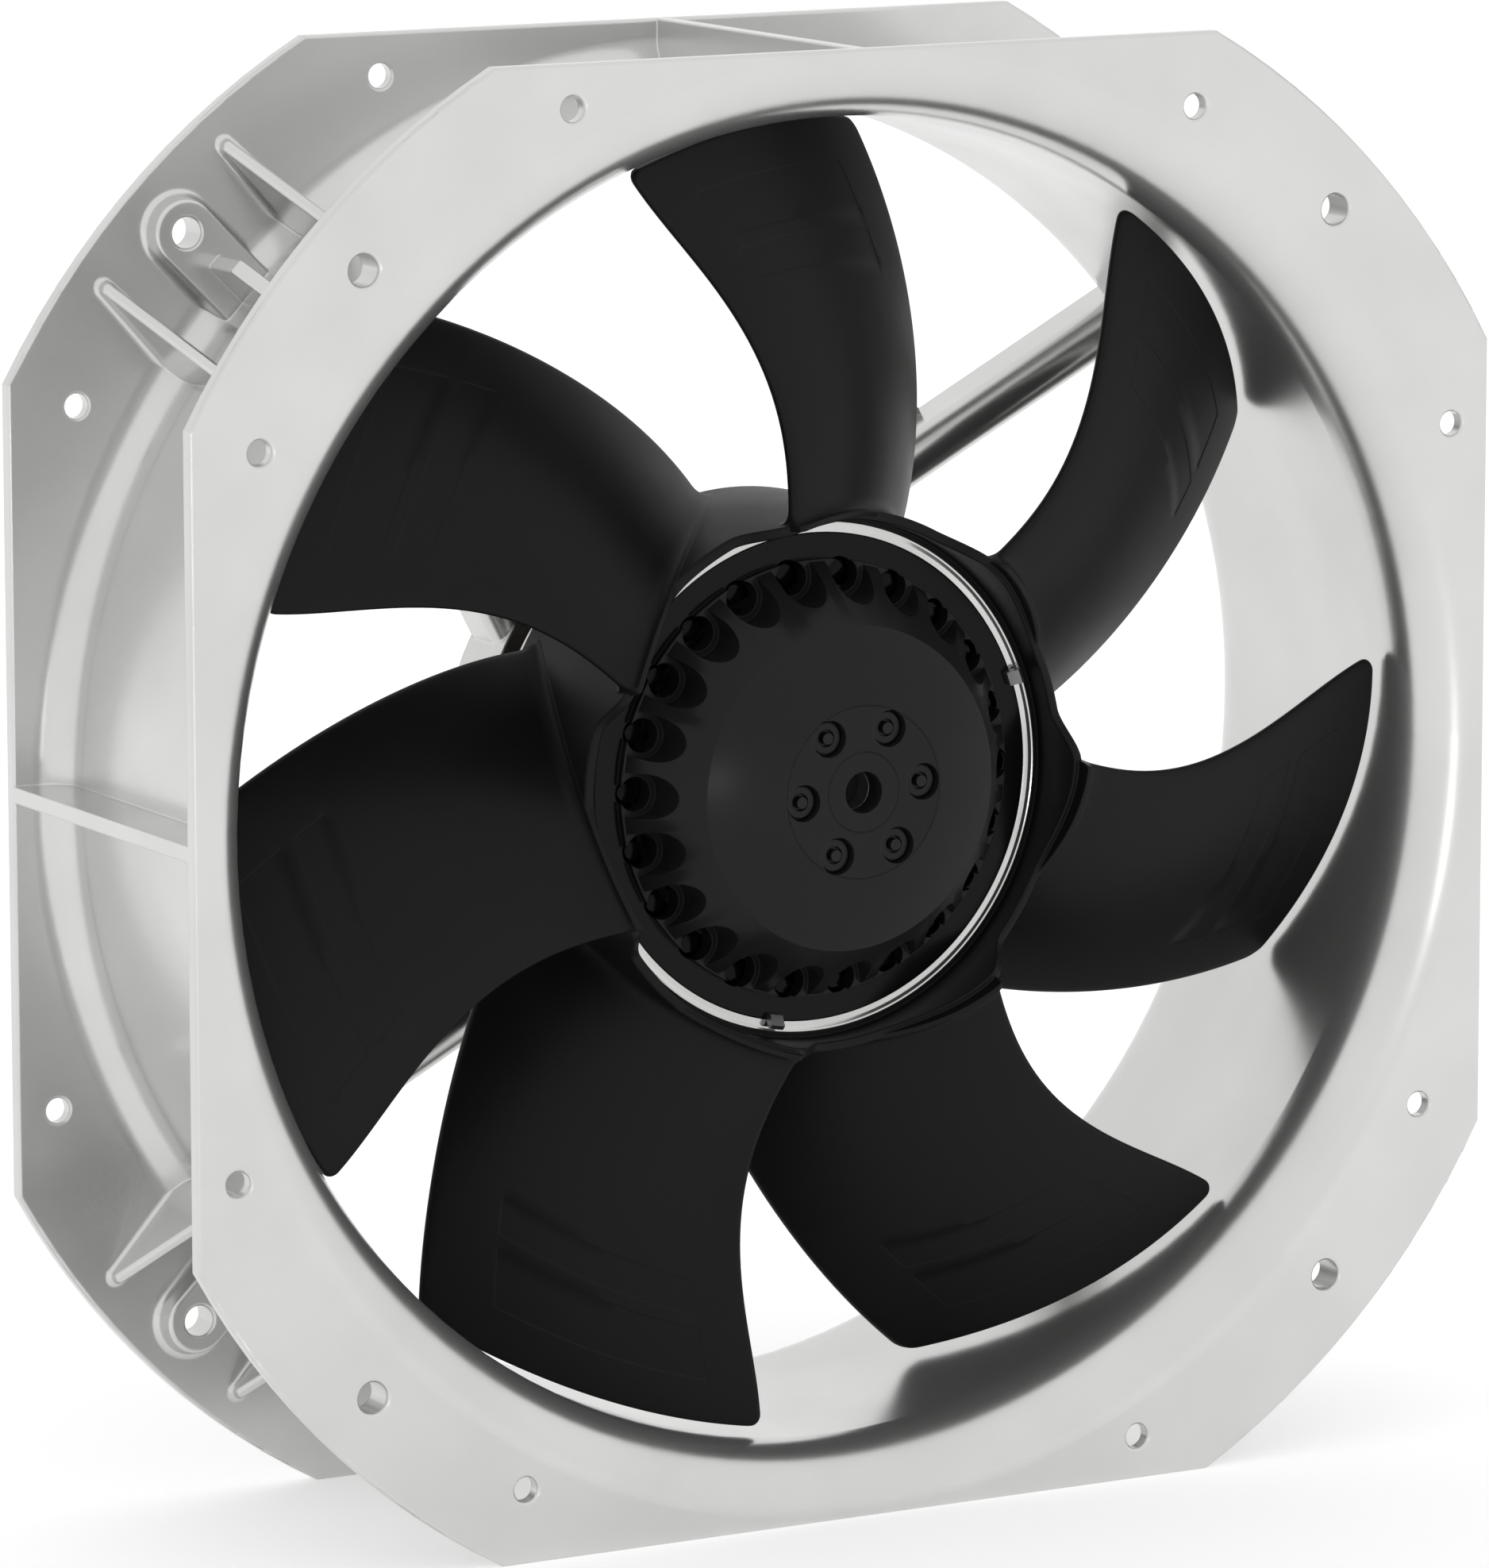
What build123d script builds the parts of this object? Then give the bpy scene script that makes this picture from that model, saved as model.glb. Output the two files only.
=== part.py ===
from build123d import *
import os
from math import atan, cos, pi, radians, sin

# Axial wall fan. Millimetres, +X right, +Y along the air flow, +Z up.
# The origin is on the fan axis, in the front face of the front flange.

# Wall ring
side = 280.0
corner_radius = 160.0
depth = 80.0
wall = 3.0
throat_radius = 126.4
bell_radius = 13.0
outlet_radius = 10.0
outline_rounding = 0.5
rib_thickness = 3.0

# Bolt holes, the same in both flanges
corner_hole_radius = 3.0
corner_circle_radius = 147.8
side_hole_radius = 2.4
side_circle_radius = 145.3
side_hole_angles = (25.0, 60.0)
hole_chamfer = 0.4

# Pads and gussets around each corner hole
pad_radius = 7.0
pad_height = 4.2
pad_draft = 10.0
pad_edge = 0.8
pad_foot = 1.5
gusset_crest = 2.4
gusset_edge = 0.6
gusset_draft = 5.0
gusset_foot = 1.2
gusset_nose = 4.0
gusset_offset = 18.0
gusset_reach = 155.5
gusset_slope = 0.752
pad_gusset_reach = 140.0
pad_gusset_step = 9.4
pad_gusset_thickness = 3.2

# Struts and motor plate, cast with the wall ring
strut_count = 4
strut_angle = 27.8
strut_offset = 21.65
strut_half_width = 4.75
strut_nose_depth = depth - 9.3
strut_wall = 2.6
plate_radius = 47.0
plate_rim = 4.0
plate_front = depth - 14.0
plate_web = (plate_front + 4.0, plate_front + 8.0)
plate_bore_radius = 12.5
lug_distance = 76.6

# Bearings, 8 x 22 x 7
bore_radius = 4.0
bearing_radius = 11.0
bearing_width = 7.0
inner_ring_radius = 6.1
outer_ring_bore = 9.0
ball_radius = 1.98
ball_circle_radius = 7.55
ball_count = 7
running_clearance = 0.05
front_bearing = 26.0
rear_bearing = plate_front - 6.5
washer_thickness = 1.2
circlip_thickness = 1.2

# Motor flange
flange_thickness = plate_web[0] - plate_front
flange_gap = 0.3
tube_radius = 13.0
tube_front = 23.0
seat_radius = 16.0
shoulder_height = 1.2
motor_screw_radius = 2.0
motor_screw_circle = 30.0
motor_screw_count = 4
motor_screw_angle = strut_angle + 45.0
motor_screw_reach = 4.5
screw_head_radius = 3.8
screw_head_height = 2.6
hex_radius = 1.7

# Cable gland
gland_radius = 4.5
gland_circle = 30.0
gland_flange_radius = 6.0
gland_bore = 2.8

# Stator
core_front = 29.0
core_back = plate_front - 15.0
stator_radius = 35.6
slot_count = 12
slot_width = 5.0
slot_inner = 19.0
slot_outer = 32.5
slot_mouth = 2.0
coil_inner = 18.5
coil_outer = 31.5
coil_height = 6.5
insulator_thickness = 1.0

# Rotor
air_gap = 0.4
rotor_bore = stator_radius + air_gap
shell_inner = 46.9
shell_outer = 49.0
shell_front = 18.0
shell_back = core_back + 5.0
shell_chamfer = 1.9
bar_count = 22
bar_radius = 2.0
bar_circle_radius = 39.8
bar_start_angle = 163.2
end_ring_width = 5.0
end_ring_inner = 36.8
end_ring_outer = 43.0
pin_radius = 1.25
pin_step_radius = 1.9

# Rotor cap
cap_flat_radius = 16.9
cap_crease_radius = 31.0
cap_crease_depth = 5.0
cap_cone_radius = 42.0
cap_rim_depth = 19.8
cap_back = 22.0
cap_web = 5.0
cap_inner_radius = 32.4
cap_groove_radii = (7.65, 16.5)
cap_groove = 0.3
pocket_floor = 18.0
pocket_radius = 4.3
pocket_apex_radius = 34.6
pocket_hole_radius = 2.6

# Rivets that hold the cap
rivet_count = 6
rivet_circle_radius = 13.0
rivet_start_angle = 4.5
rivet_recess_radius = 3.55
rivet_recess_depth = 2.8
rivet_head_radius = 3.0
rivet_head_front = 1.4
rivet_hole_radius = 1.7
rivet_pin_radius = 1.1
rivet_pin_front = 0.6
rivet_shank_radius = 1.9

# Balance clips on the shell's edge
clip_angles = (20.0, 259.5)
clip_arc = 3.4
clip_inner = 45.7
clip_outer = 48.4
clip_height = 1.2

# Shaft and hub
shaft_ring_thickness = 1.0
hub_flange_front = cap_web
hub_flange_radius = 17.5
hub_flange_back = 9.0
hub_boss_radius = 8.0

# Impeller
blade_count = 7
blade_tip_radius = 124.7
blade_thickness = 2.4
blade_corner = 2.5
sleeve_inner = shell_outer
sleeve_outer = 52.2
sleeve_front = 13.6
sleeve_back = 49.5
sleeve_relief = 1.2
sleeve_relief_depth = 18.6
lobe_front = 6.2
scallop_steep = 8.5
scallop_flat = 12.0
# Polynomials in the share of the way from the tip to the root
lead_angle = (109.5, -6.5, -32.1, 32.8)
lead_depth = (15.9, -8.2, -1.4)
trail_angle = (80.0, -24.5, 0.0, -6.1)
trail_depth = (43.3, -8.0, 12.2)
camber = (4.7, 3.0)


def turned(*points):
    """Turn a closed outline of (radius, depth) points about the fan axis."""
    return revolve(make_face(Polyline(*points, close=True)), axis=Axis.Y)


def tube(outer, inner, front, back):
    """A plain ring or disc on the fan axis."""
    return turned((inner, front), (outer, front), (outer, back), (inner, back))


def swing(shape, angle):
    """Turn a shape about the fan axis, from +X towards +Z."""
    return Rot(0, -angle, 0) * shape


def around(shape, count, start=0.0):
    """Copies of a shape spaced evenly about the fan axis."""
    return [swing(shape, start + index * 360.0 / count) for index in range(count)]


def rod(radius, circle_radius, front, back):
    """A round rod parallel to the fan axis."""
    return Pos(circle_radius, 0, 0) * tube(radius, 0, front, back)


def rods(radius, circle_radius, front, back, count, start=0.0):
    """Evenly spaced rods on a circle."""
    return around(rod(radius, circle_radius, front, back), count, start)


def plate(outline, thickness, offset=0.0):
    """A flat plate from (radius, depth) points, centred at an offset beside the axis."""
    face = make_face(Polyline(*outline, close=True))
    return Pos(0, 0, offset) * extrude(face, amount=thickness / 2, both=True)


def joined(shapes):
    """One solid from several that touch."""
    whole = shapes[0]
    for shape in shapes[1:]:
        whole = whole + shape
    return whole


def group(shapes):
    """Separate solids kept in one node."""
    return Compound(children=[solid for shape in shapes for solid in shape.solids()])


def air_passage(allowance=0.0):
    """The space inside the duct, with its bell mouth and rounded outlet."""
    radius = throat_radius + allowance
    bell = CenterArc((throat_radius + bell_radius, bell_radius), bell_radius - allowance, 180, 90)
    outlet = CenterArc(
        (throat_radius + outlet_radius, depth - outlet_radius), outlet_radius - allowance, 90, 90
    )
    front = Line((0, allowance), (throat_radius + bell_radius, allowance))
    back = Line((0, depth - allowance), (throat_radius + outlet_radius, depth - allowance))
    throat = Line((radius, bell_radius), (radius, depth - outlet_radius))
    axis = Line((0, allowance), (0, depth - allowance))
    return revolve(make_face([front, bell, throat, outlet, back, axis]), axis=Axis.Y)


def wall_ring():
    """Duct and flanges turned as one ring, then cut square."""
    block = tube(corner_radius, 0, 0, depth)
    outside = tube(corner_radius + wall, 0, wall, depth - wall) - air_passage(wall)
    ring = (block - outside - air_passage()) & Pos(0, depth / 2, 0) * Box(side, depth, side)
    rims = []
    for edge in ring.edges():
        start = edge.position_at(0)
        flat = abs(start.Y - edge.position_at(1).Y) < 0.01
        reach = (start.X**2 + start.Z**2) ** 0.5
        if flat and reach > corner_radius - 0.01:
            rims.append(edge)
    return fillet(rims, outline_rounding)


def side_ribs():
    """Four plates that tie the flanges together at the flats."""
    duct = throat_radius + wall / 2
    outline = ((duct, wall / 2), (side / 2, wall / 2), (side / 2, depth - wall / 2), (duct, depth - wall / 2))
    return around(plate(outline, rib_thickness), 4)


def on_foot(shape, radius, inner, half_width):
    """A shape joined to a thin layer of the rear flange, with a fillet all along its foot."""
    foot = depth - wall
    layer = wall / 3
    outer = corner_radius - wall
    middle = ((inner + outer) / 2, foot + layer / 2, 0)
    whole = Pos(*middle) * Box(outer - inner, layer, 2 * half_width) + shape
    edges = []
    for edge in whole.edges():
        flat = all(abs(edge.position_at(share).Y - foot) < 0.001 for share in (0, 0.5, 1))
        middle = edge.position_at(0.5)
        if flat and inner + 0.01 < middle.X < outer - 0.01 and abs(middle.Z) < half_width - 0.01:
            edges.append(edge)
    return fillet(edges, radius)


def corner_pad():
    """Raised pad around a corner hole, reaching back to the duct, on the rear flange."""
    foot = depth - wall
    inner_face = Plane(origin=(0, foot, 0), x_dir=(1, 0, 0), z_dir=(0, -1, 0))
    length = corner_circle_radius - throat_radius
    centre = (corner_circle_radius + throat_radius) / 2
    slot = inner_face * Pos(centre, 0) * SlotCenterToCenter(length, 2 * pad_radius)
    pad = extrude(slot, amount=pad_height, taper=pad_draft)
    pad = fillet(pad.faces().sort_by(Axis.Y)[0].edges(), pad_edge)
    return on_foot(pad, pad_foot, throat_radius + wall, 2 * pad_radius)


def side_gusset():
    """Web beside a corner pad: a drafted rib with a round nose under a sloping crest."""
    foot = depth - wall
    slope = atan(gusset_slope)
    along = Vector(-cos(slope), -sin(slope), 0)
    down = Vector(-sin(slope), cos(slope), 0)
    nose = Vector(gusset_reach, foot, 0) + along * gusset_nose
    length = 40.0
    narrow = gusset_crest / 2 - gusset_edge
    wide = narrow + gusset_edge
    crest = Plane(origin=nose, x_dir=along, z_dir=down)
    under = Plane(origin=nose + down * gusset_edge, x_dir=along, z_dir=down)
    crest_slot = crest * Pos(length / 2, 0) * SlotCenterToCenter(length, 2 * narrow)
    under_slot = under * Pos(length / 2, 0) * SlotCenterToCenter(length, 2 * wide)
    edge = extrude(crest_slot, gusset_edge, taper=-45)
    body = extrude(under_slot, length, taper=-gusset_draft)
    reach = gusset_reach - throat_radius
    rise = reach * gusset_slope
    middle = (throat_radius + reach / 2, foot + wall / 3 - rise / 2, 0)
    room = Pos(*middle) * Box(reach, rise, 12.0)
    return on_foot((edge + body) & room, gusset_foot, throat_radius + 2 * wall, 8.0)


def pad_gusset():
    """Web on top of a corner pad, with rounded edges."""
    duct = throat_radius + wall / 2
    top = depth - wall - pad_height
    crest = top - pad_gusset_step
    rise = (pad_gusset_reach - duct) * gusset_slope
    outline = (
        (duct, top + 0.5),
        (pad_gusset_reach, top + 0.5),
        (pad_gusset_reach, crest),
        (duct, crest - rise),
    )
    web = plate(outline, pad_gusset_thickness)
    edges = [edge for edge in web.edges() if abs(edge.center().Z) > 0.1 and edge.center().X > duct + 0.1]
    return fillet([edge for edge in edges if edge.center().Y < top], gusset_edge)


def bolt_hole(radius, circle_radius, thickness=wall):
    """What is cut for one hole through both flanges, with chamfers on every face."""
    wide = radius + hole_chamfer
    outline = [(0, 0)]
    for face in (0, thickness, depth - thickness, depth):
        if face > 0:
            outline.append((radius, face - hole_chamfer))
        outline.append((wide, face))
        if face < depth:
            outline.append((radius, face + hole_chamfer))
    return Pos(circle_radius, 0, 0) * turned(*outline, (0, depth))


def strut():
    """One strut towards +X: a round-nosed channel, open at the back."""
    nose = Pos(strut_nose_depth, strut_offset) * Circle(strut_half_width)
    back = depth - strut_nose_depth
    bar = Pos(strut_nose_depth + back / 2, strut_offset) * Rectangle(back, 2 * strut_half_width)
    hollow_half = strut_half_width - strut_wall
    hollow_nose = Pos(strut_nose_depth, strut_offset) * Circle(hollow_half)
    hollow_bar = Pos(strut_nose_depth + back / 2, strut_offset) * Rectangle(back, 2 * hollow_half)
    across = Plane(origin=(0, 0, 0), x_dir=(0, 1, 0), z_dir=(1, 0, 0))
    reach = throat_radius + bell_radius
    solid = extrude(across * (nose + bar), amount=reach)
    hollow = extrude(across * (hollow_nose + hollow_bar), amount=reach)
    inside = air_passage(wall / 2)
    core = tube(plate_radius - plate_rim / 2, 0, 0, depth)
    gap = tube(plate_radius, 0, 0, depth) + (tube(corner_radius, 0, 0, depth) - air_passage(-1.0))
    return (solid & inside) - core - (hollow - gap)


def lead_lugs():
    """Two small lugs that hold the motor lead in a strut's channel."""
    lug_width = 2 * strut_half_width + 3.0
    channel_width = 2 * (strut_half_width - strut_wall)
    lug = Box(3.0, 3.0, lug_width) - Box(4.0, 4.0, channel_width)
    return swing(Pos(lug_distance, depth - 3.0, strut_offset) * lug, strut_angle)


def motor_plate():
    """Rim and web in the middle of the struts, where the motor is screwed on."""
    rim = tube(plate_radius, plate_radius - plate_rim, plate_front, depth)
    web = tube(plate_radius - plate_rim / 2, plate_bore_radius, *plate_web)
    clear = motor_screw_radius + flange_gap
    holes = rods(clear, motor_screw_circle, plate_front, depth, motor_screw_count, motor_screw_angle)
    outlet = swing(rod(gland_radius, gland_circle, plate_front, depth), strut_angle)
    return rim + web - holes - outlet


def housing():
    """The wall ring with its ribs, pads, gussets, struts and motor plate: one casting."""
    gusset = side_gusset()
    corner = [corner_pad(), pad_gusset()]
    corner += [Pos(0, 0, offset) * gusset for offset in (gusset_offset, -gusset_offset)]
    mirrored = [Pos(0, depth, 0) * mirror(shape, about=Plane.XZ) for shape in corner]
    details = [swing(shape, 45 + 90 * turn) for turn in range(4) for shape in corner + mirrored]
    body = joined([wall_ring()] + side_ribs() + details) - air_passage()
    body = joined([body] + around(strut(), strut_count, strut_angle) + [lead_lugs(), motor_plate()])
    for start in side_hole_angles:
        body = body - around(bolt_hole(side_hole_radius, side_circle_radius), 4, start)
    return body - around(bolt_hole(corner_hole_radius, corner_circle_radius, wall + pad_height), 4, 45.0)


def cable_gland():
    """Rubber gland for the motor lead, in the motor plate beside the lead's strut."""
    front, back = plate_web
    grip = 1.5
    outline = (
        (gland_bore, front - flange_thickness),
        (gland_radius, front - flange_thickness),
        (gland_radius, back),
        (gland_flange_radius, back),
        (gland_flange_radius, back + grip),
        (gland_bore, back + 2 * grip),
    )
    return swing(Pos(gland_circle, 0, 0) * turned(*outline), strut_angle)


def motor_flange():
    """Mounting flange with the bearing tube, which carries the stator."""
    disc = tube(plate_radius - plate_rim - flange_gap, tube_radius, plate_front, plate_web[0])
    spigot = tube(plate_bore_radius, bearing_radius, plate_web[0], plate_web[1])
    sleeve = tube(tube_radius, bearing_radius, tube_front, plate_web[0])
    between = (front_bearing + bearing_width, rear_bearing - washer_thickness)
    shoulder = tube(bearing_radius + 0.5, bearing_radius - shoulder_height, *between)
    groove = tube(bearing_radius + 0.7, 0, front_bearing - circlip_thickness, front_bearing)
    seat = tube(seat_radius, tube_radius - 0.5, core_back, plate_front)
    body = disc + spigot + sleeve + shoulder + seat - groove
    threads = rods(
        motor_screw_radius,
        motor_screw_circle,
        plate_front,
        plate_web[0],
        motor_screw_count,
        motor_screw_angle,
    )
    outlet = swing(rod(gland_radius, gland_circle, plate_front, depth), strut_angle)
    return body - threads - outlet


def motor_screws():
    """Four socket screws through the motor plate into the motor flange."""
    front, back = plate_web
    shank = rod(motor_screw_radius, 0, back - flange_thickness - motor_screw_reach + 0.5, back)
    head = rod(screw_head_radius, 0, back, back + screw_head_height)
    across = Plane(origin=(0, back + screw_head_height, 0), x_dir=(1, 0, 0), z_dir=(0, -1, 0))
    socket = extrude(across * RegularPolygon(hex_radius, 6), amount=screw_head_height * 0.6)
    screw = Pos(motor_screw_circle, 0, 0) * (shank + head - socket)
    return group(around(screw, motor_screw_count, motor_screw_angle))


def bearing_cover():
    """Pressed cover that closes the bearing tube at the back."""
    front, back = plate_web
    rim = 1.0
    outline = (
        (0, back - rim),
        (bearing_radius - rim, back - rim),
        (bearing_radius - rim, front + rim),
        (bearing_radius, front + rim),
        (bearing_radius, back),
        (0, back),
    )
    return turned(*outline)


def outer_ring(front):
    """Outer ring of a bearing, with its ball groove."""
    ring = tube(bearing_radius, outer_ring_bore, front, front + bearing_width)
    return ring - ball_groove(front)


def inner_ring(front):
    """Inner ring of a bearing, with its ball groove."""
    ring = tube(inner_ring_radius, bore_radius, front, front + bearing_width)
    return ring - ball_groove(front)


def ball_groove(front):
    """The ring-shaped space in which the balls run."""
    middle = front + bearing_width / 2
    section = Pos(ball_circle_radius, middle) * Circle(ball_radius + running_clearance)
    return revolve(section, axis=Axis.Y)


def bearing_balls(front):
    """The balls of one bearing."""
    ball = Pos(ball_circle_radius, front + bearing_width / 2, 0) * Sphere(ball_radius)
    return group(around(ball, ball_count))


def bearing_cage(front):
    """The cage that spaces the balls of one bearing."""
    middle = front + bearing_width / 2
    half = bearing_width / 2 - 0.7
    cage = tube(ball_circle_radius + 0.6, ball_circle_radius - 0.6, middle - half, middle + half)
    pocket = Pos(ball_circle_radius, middle, 0) * Rot(0, 90, 0) * Cylinder(ball_radius, 3.0)
    return cage - around(pocket, ball_count)


def preload_washer():
    """Spring washer that pushes the rear bearing back against its ring."""
    return tube(bearing_radius - 0.2, outer_ring_bore + 0.2, rear_bearing - washer_thickness, rear_bearing)


def bearing_circlip():
    """Open ring in the front groove of the bearing tube."""
    clip = tube(bearing_radius + 0.7, outer_ring_bore + 0.4, front_bearing - circlip_thickness, front_bearing)
    gap = Pos(bearing_radius, front_bearing, 0) * Box(8.0, 8.0, 5.0)
    return clip - gap


def slot_space(margin, front, back):
    """One stator slot towards +X, shrunk by a margin on every side."""
    length = slot_outer - slot_inner - 2 * margin
    centre = ((slot_outer + slot_inner) / 2, (front + back) / 2, 0)
    return Pos(*centre) * Box(length, back - front, slot_width - 2 * margin)


def stator_core():
    """Slotted stack of laminations on the bearing tube."""
    stack = tube(stator_radius, tube_radius, core_front, core_back)
    mouth_length = stator_radius - slot_outer + 2.0
    middle = (slot_outer - 1.0 + mouth_length / 2, (core_front + core_back) / 2, 0)
    mouth = Pos(*middle) * Box(mouth_length, core_back - core_front, slot_mouth)
    slots = around(slot_space(0.0, core_front, core_back) + mouth, slot_count)
    return stack - slots


def slot_insulator(front):
    """Moulded end cap between the laminations and the coil heads."""
    disc = tube(slot_outer + 1.2, seat_radius + flange_gap, front, front + insulator_thickness)
    windows = around(slot_space(0.2, front, front + insulator_thickness), slot_count)
    return disc - windows


def stator_windings():
    """Copper in the slots, with a rounded coil head at each end."""
    front = core_front - insulator_thickness
    back = core_back + insulator_thickness
    head_length = coil_outer - coil_inner
    heads = []
    for middle in (front - coil_height / 2, back + coil_height / 2):
        section = Pos((coil_outer + coil_inner) / 2, middle) * RectangleRounded(head_length, coil_height, 2.4)
        heads.append(revolve(section, axis=Axis.Y))
    bars = around(slot_space(0.2, front - 2.0, back + 2.0), slot_count)
    return joined(heads + bars)


def shaft():
    """Rotor shaft, with the groove for its rear ring."""
    ring_front = rear_bearing + bearing_width
    bar = tube(bore_radius, 0, hub_flange_back, ring_front + 3.5)
    groove = tube(bore_radius + 1.0, bore_radius - 0.5, ring_front, ring_front + shaft_ring_thickness)
    return bar - groove


def shaft_ring():
    """Open ring that keeps the rear bearing on the shaft."""
    front = rear_bearing + bearing_width
    ring = tube(bore_radius + 1.6, bore_radius - 0.5, front, front + shaft_ring_thickness)
    gap = Pos(bore_radius + 1.0, front, 0) * Box(4.0, 4.0, 3.0)
    return ring - gap


def shaft_hub():
    """Flanged bush pressed on the shaft, to which the cap is riveted."""
    outline = (
        (bore_radius, hub_flange_front),
        (hub_flange_radius, hub_flange_front),
        (hub_flange_radius, hub_flange_back),
        (hub_boss_radius, hub_flange_back),
        (hub_boss_radius, tube_front - 1.5),
        (inner_ring_radius, tube_front - 1.5),
        (inner_ring_radius, front_bearing),
        (bore_radius, front_bearing),
    )
    holes = rods(
        rivet_shank_radius,
        rivet_circle_radius,
        hub_flange_front,
        hub_flange_back,
        rivet_count,
        rivet_start_angle,
    )
    return turned(*outline) - holes


def cap_body():
    """The dished cap before its holes and pockets are cut."""
    outline = (
        (bore_radius, 0),
        (cap_flat_radius, 0),
        (cap_crease_radius, cap_crease_depth),
        (cap_cone_radius, cap_rim_depth),
        (shell_inner, cap_rim_depth),
        (shell_inner, cap_back),
        (cap_inner_radius, cap_back),
        (cap_inner_radius, cap_back - 8.5),
        (cap_inner_radius - 3.0, cap_crease_depth + 4.5),
        (hub_flange_radius, cap_web),
        (bore_radius, cap_web),
    )
    return turned(*outline)


def cap_pocket():
    """One cooling pocket towards +X, with its round inner end and the hole in its floor."""
    centre = pocket_apex_radius + pocket_radius
    front_face = Plane(origin=(0, 0, 0), x_dir=(1, 0, 0), z_dir=(0, 1, 0))
    round_end = Pos(centre, 0) * Circle(pocket_radius)
    mouth = Pos(centre + pocket_radius, 0) * Rectangle(2 * pocket_radius, 2 * pocket_radius)
    slot = extrude(front_face * (round_end + mouth), amount=pocket_floor)
    return slot + rod(pocket_hole_radius, bar_circle_radius, 0, cap_back)


def rotor_cap():
    """Dished cap with a ring of cooling pockets and two turned grooves."""
    recess = rod(rivet_recess_radius, rivet_circle_radius, 0, rivet_recess_depth)
    hole = recess + rod(rivet_shank_radius, rivet_circle_radius, 0, cap_web)
    cuts = around(cap_pocket(), bar_count, bar_start_angle)
    cuts = cuts + around(hole, rivet_count, rivet_start_angle)
    for radius in cap_groove_radii:
        cuts.append(turned((radius - cap_groove, 0), (radius + cap_groove, 0), (radius, cap_groove)))
    return cap_body() - cuts


def cap_rivets():
    """Six hollow rivets, each with its pin left in the head."""
    head = rod(rivet_head_radius, 0, rivet_head_front, rivet_recess_depth)
    dimple = rod(rivet_hole_radius, 0, rivet_head_front, rivet_recess_depth - 0.4)
    shank = rod(rivet_shank_radius, 0, rivet_recess_depth, hub_flange_back)
    tail = rod(rivet_shank_radius + 0.7, 0, hub_flange_back, hub_flange_back + 2.0)
    pin = rod(rivet_pin_radius, 0, rivet_pin_front, rivet_recess_depth)
    rivet = Pos(rivet_circle_radius, 0, 0) * (head - dimple + pin + shank + tail)
    return group(around(rivet, rivet_count, rivet_start_angle))


def rotor_shell():
    """Steel shell of the rotor, with its bevelled front edge."""
    outline = (
        (shell_inner, shell_front + shell_chamfer),
        (shell_inner + shell_chamfer, shell_front),
        (shell_outer, shell_front),
        (shell_outer, shell_back),
        (shell_inner, shell_back),
    )
    return turned(*outline)


def rotor_core():
    """Ring of laminations inside the shell, with the holes for the cage bars."""
    ring = tube(shell_inner, rotor_bore, core_front, core_back)
    return ring - rods(bar_radius, bar_circle_radius, core_front, core_back, bar_count, bar_start_angle)


def rotor_cage():
    """End rings, bars and the stepped pins that show in the cap's pockets."""
    front = core_front - end_ring_width
    rings = [
        tube(end_ring_outer, end_ring_inner, front, core_front),
        tube(end_ring_outer, end_ring_inner, core_back, core_back + end_ring_width),
    ]
    bars = rods(bar_radius, bar_circle_radius, core_front, core_back, bar_count, bar_start_angle)
    step = rod(pin_step_radius, bar_circle_radius, cap_back - 1.5, front)
    pin = step + rod(pin_radius, bar_circle_radius, pocket_floor, cap_back)
    return joined(rings + bars + around(pin, bar_count, bar_start_angle))


def balance_clips():
    """Two small clips on the bevelled edge of the shell."""
    bevel = shell_inner + shell_front + shell_chamfer
    outline = (
        (clip_inner, cap_rim_depth),
        (clip_inner, cap_rim_depth - clip_height),
        (clip_outer - 0.8, bevel - clip_outer - clip_height),
        (clip_outer, bevel - clip_outer - clip_height / 2),
        (clip_outer, bevel - clip_outer),
        (bevel - cap_rim_depth, cap_rim_depth),
    )
    clip = revolve(make_face(Polyline(*outline, close=True)), axis=Axis.Y, revolution_arc=clip_arc)
    return group([swing(clip, angle + clip_arc / 2) for angle in clip_angles])


def polynomial(coefficients, share):
    """Value of a polynomial given from its constant upwards."""
    return sum(factor * share**power for power, factor in enumerate(coefficients))


def blade_point(radius, chord_share):
    """A point of the blade's middle surface, from its leading to its trailing edge."""
    share = (blade_tip_radius - radius) / (blade_tip_radius - sleeve_outer)
    lead = polynomial(lead_angle, share)
    trail = polynomial(trail_angle, share)
    angle = radians(lead + (trail - lead) * chord_share)
    front = polynomial(lead_depth, share)
    back = polynomial(trail_depth, share)
    bow = 4 * polynomial(camber, share) * chord_share * (1 - chord_share)
    place = front + (back - front) * chord_share - bow
    return (radius * cos(angle), place, radius * sin(angle))


def blade():
    """One forward-swept blade, from inside the sleeve's wall to its tip."""
    inner = sleeve_outer - 1.5
    outer = blade_tip_radius + 1.5
    rows = []
    for row in range(8):
        radius = inner + (outer - inner) * row / 7
        rows.append([Vector(*blade_point(radius, column / 8)) for column in range(9)])
    surface = Face.make_surface_from_array_of_points(rows)
    solid = thicken(surface, blade_thickness / 2, both=True)
    solid = solid & tube(blade_tip_radius, sleeve_outer - 1.0, 0, depth)
    corners = []
    for edge in solid.edges():
        middle = edge.position_at(0.5)
        at_tip = (middle.X**2 + middle.Z**2) ** 0.5 > blade_tip_radius - 0.5
        if at_tip and edge.length < 2 * blade_thickness:
            corners.append(edge)
    return fillet(corners, blade_corner)


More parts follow.
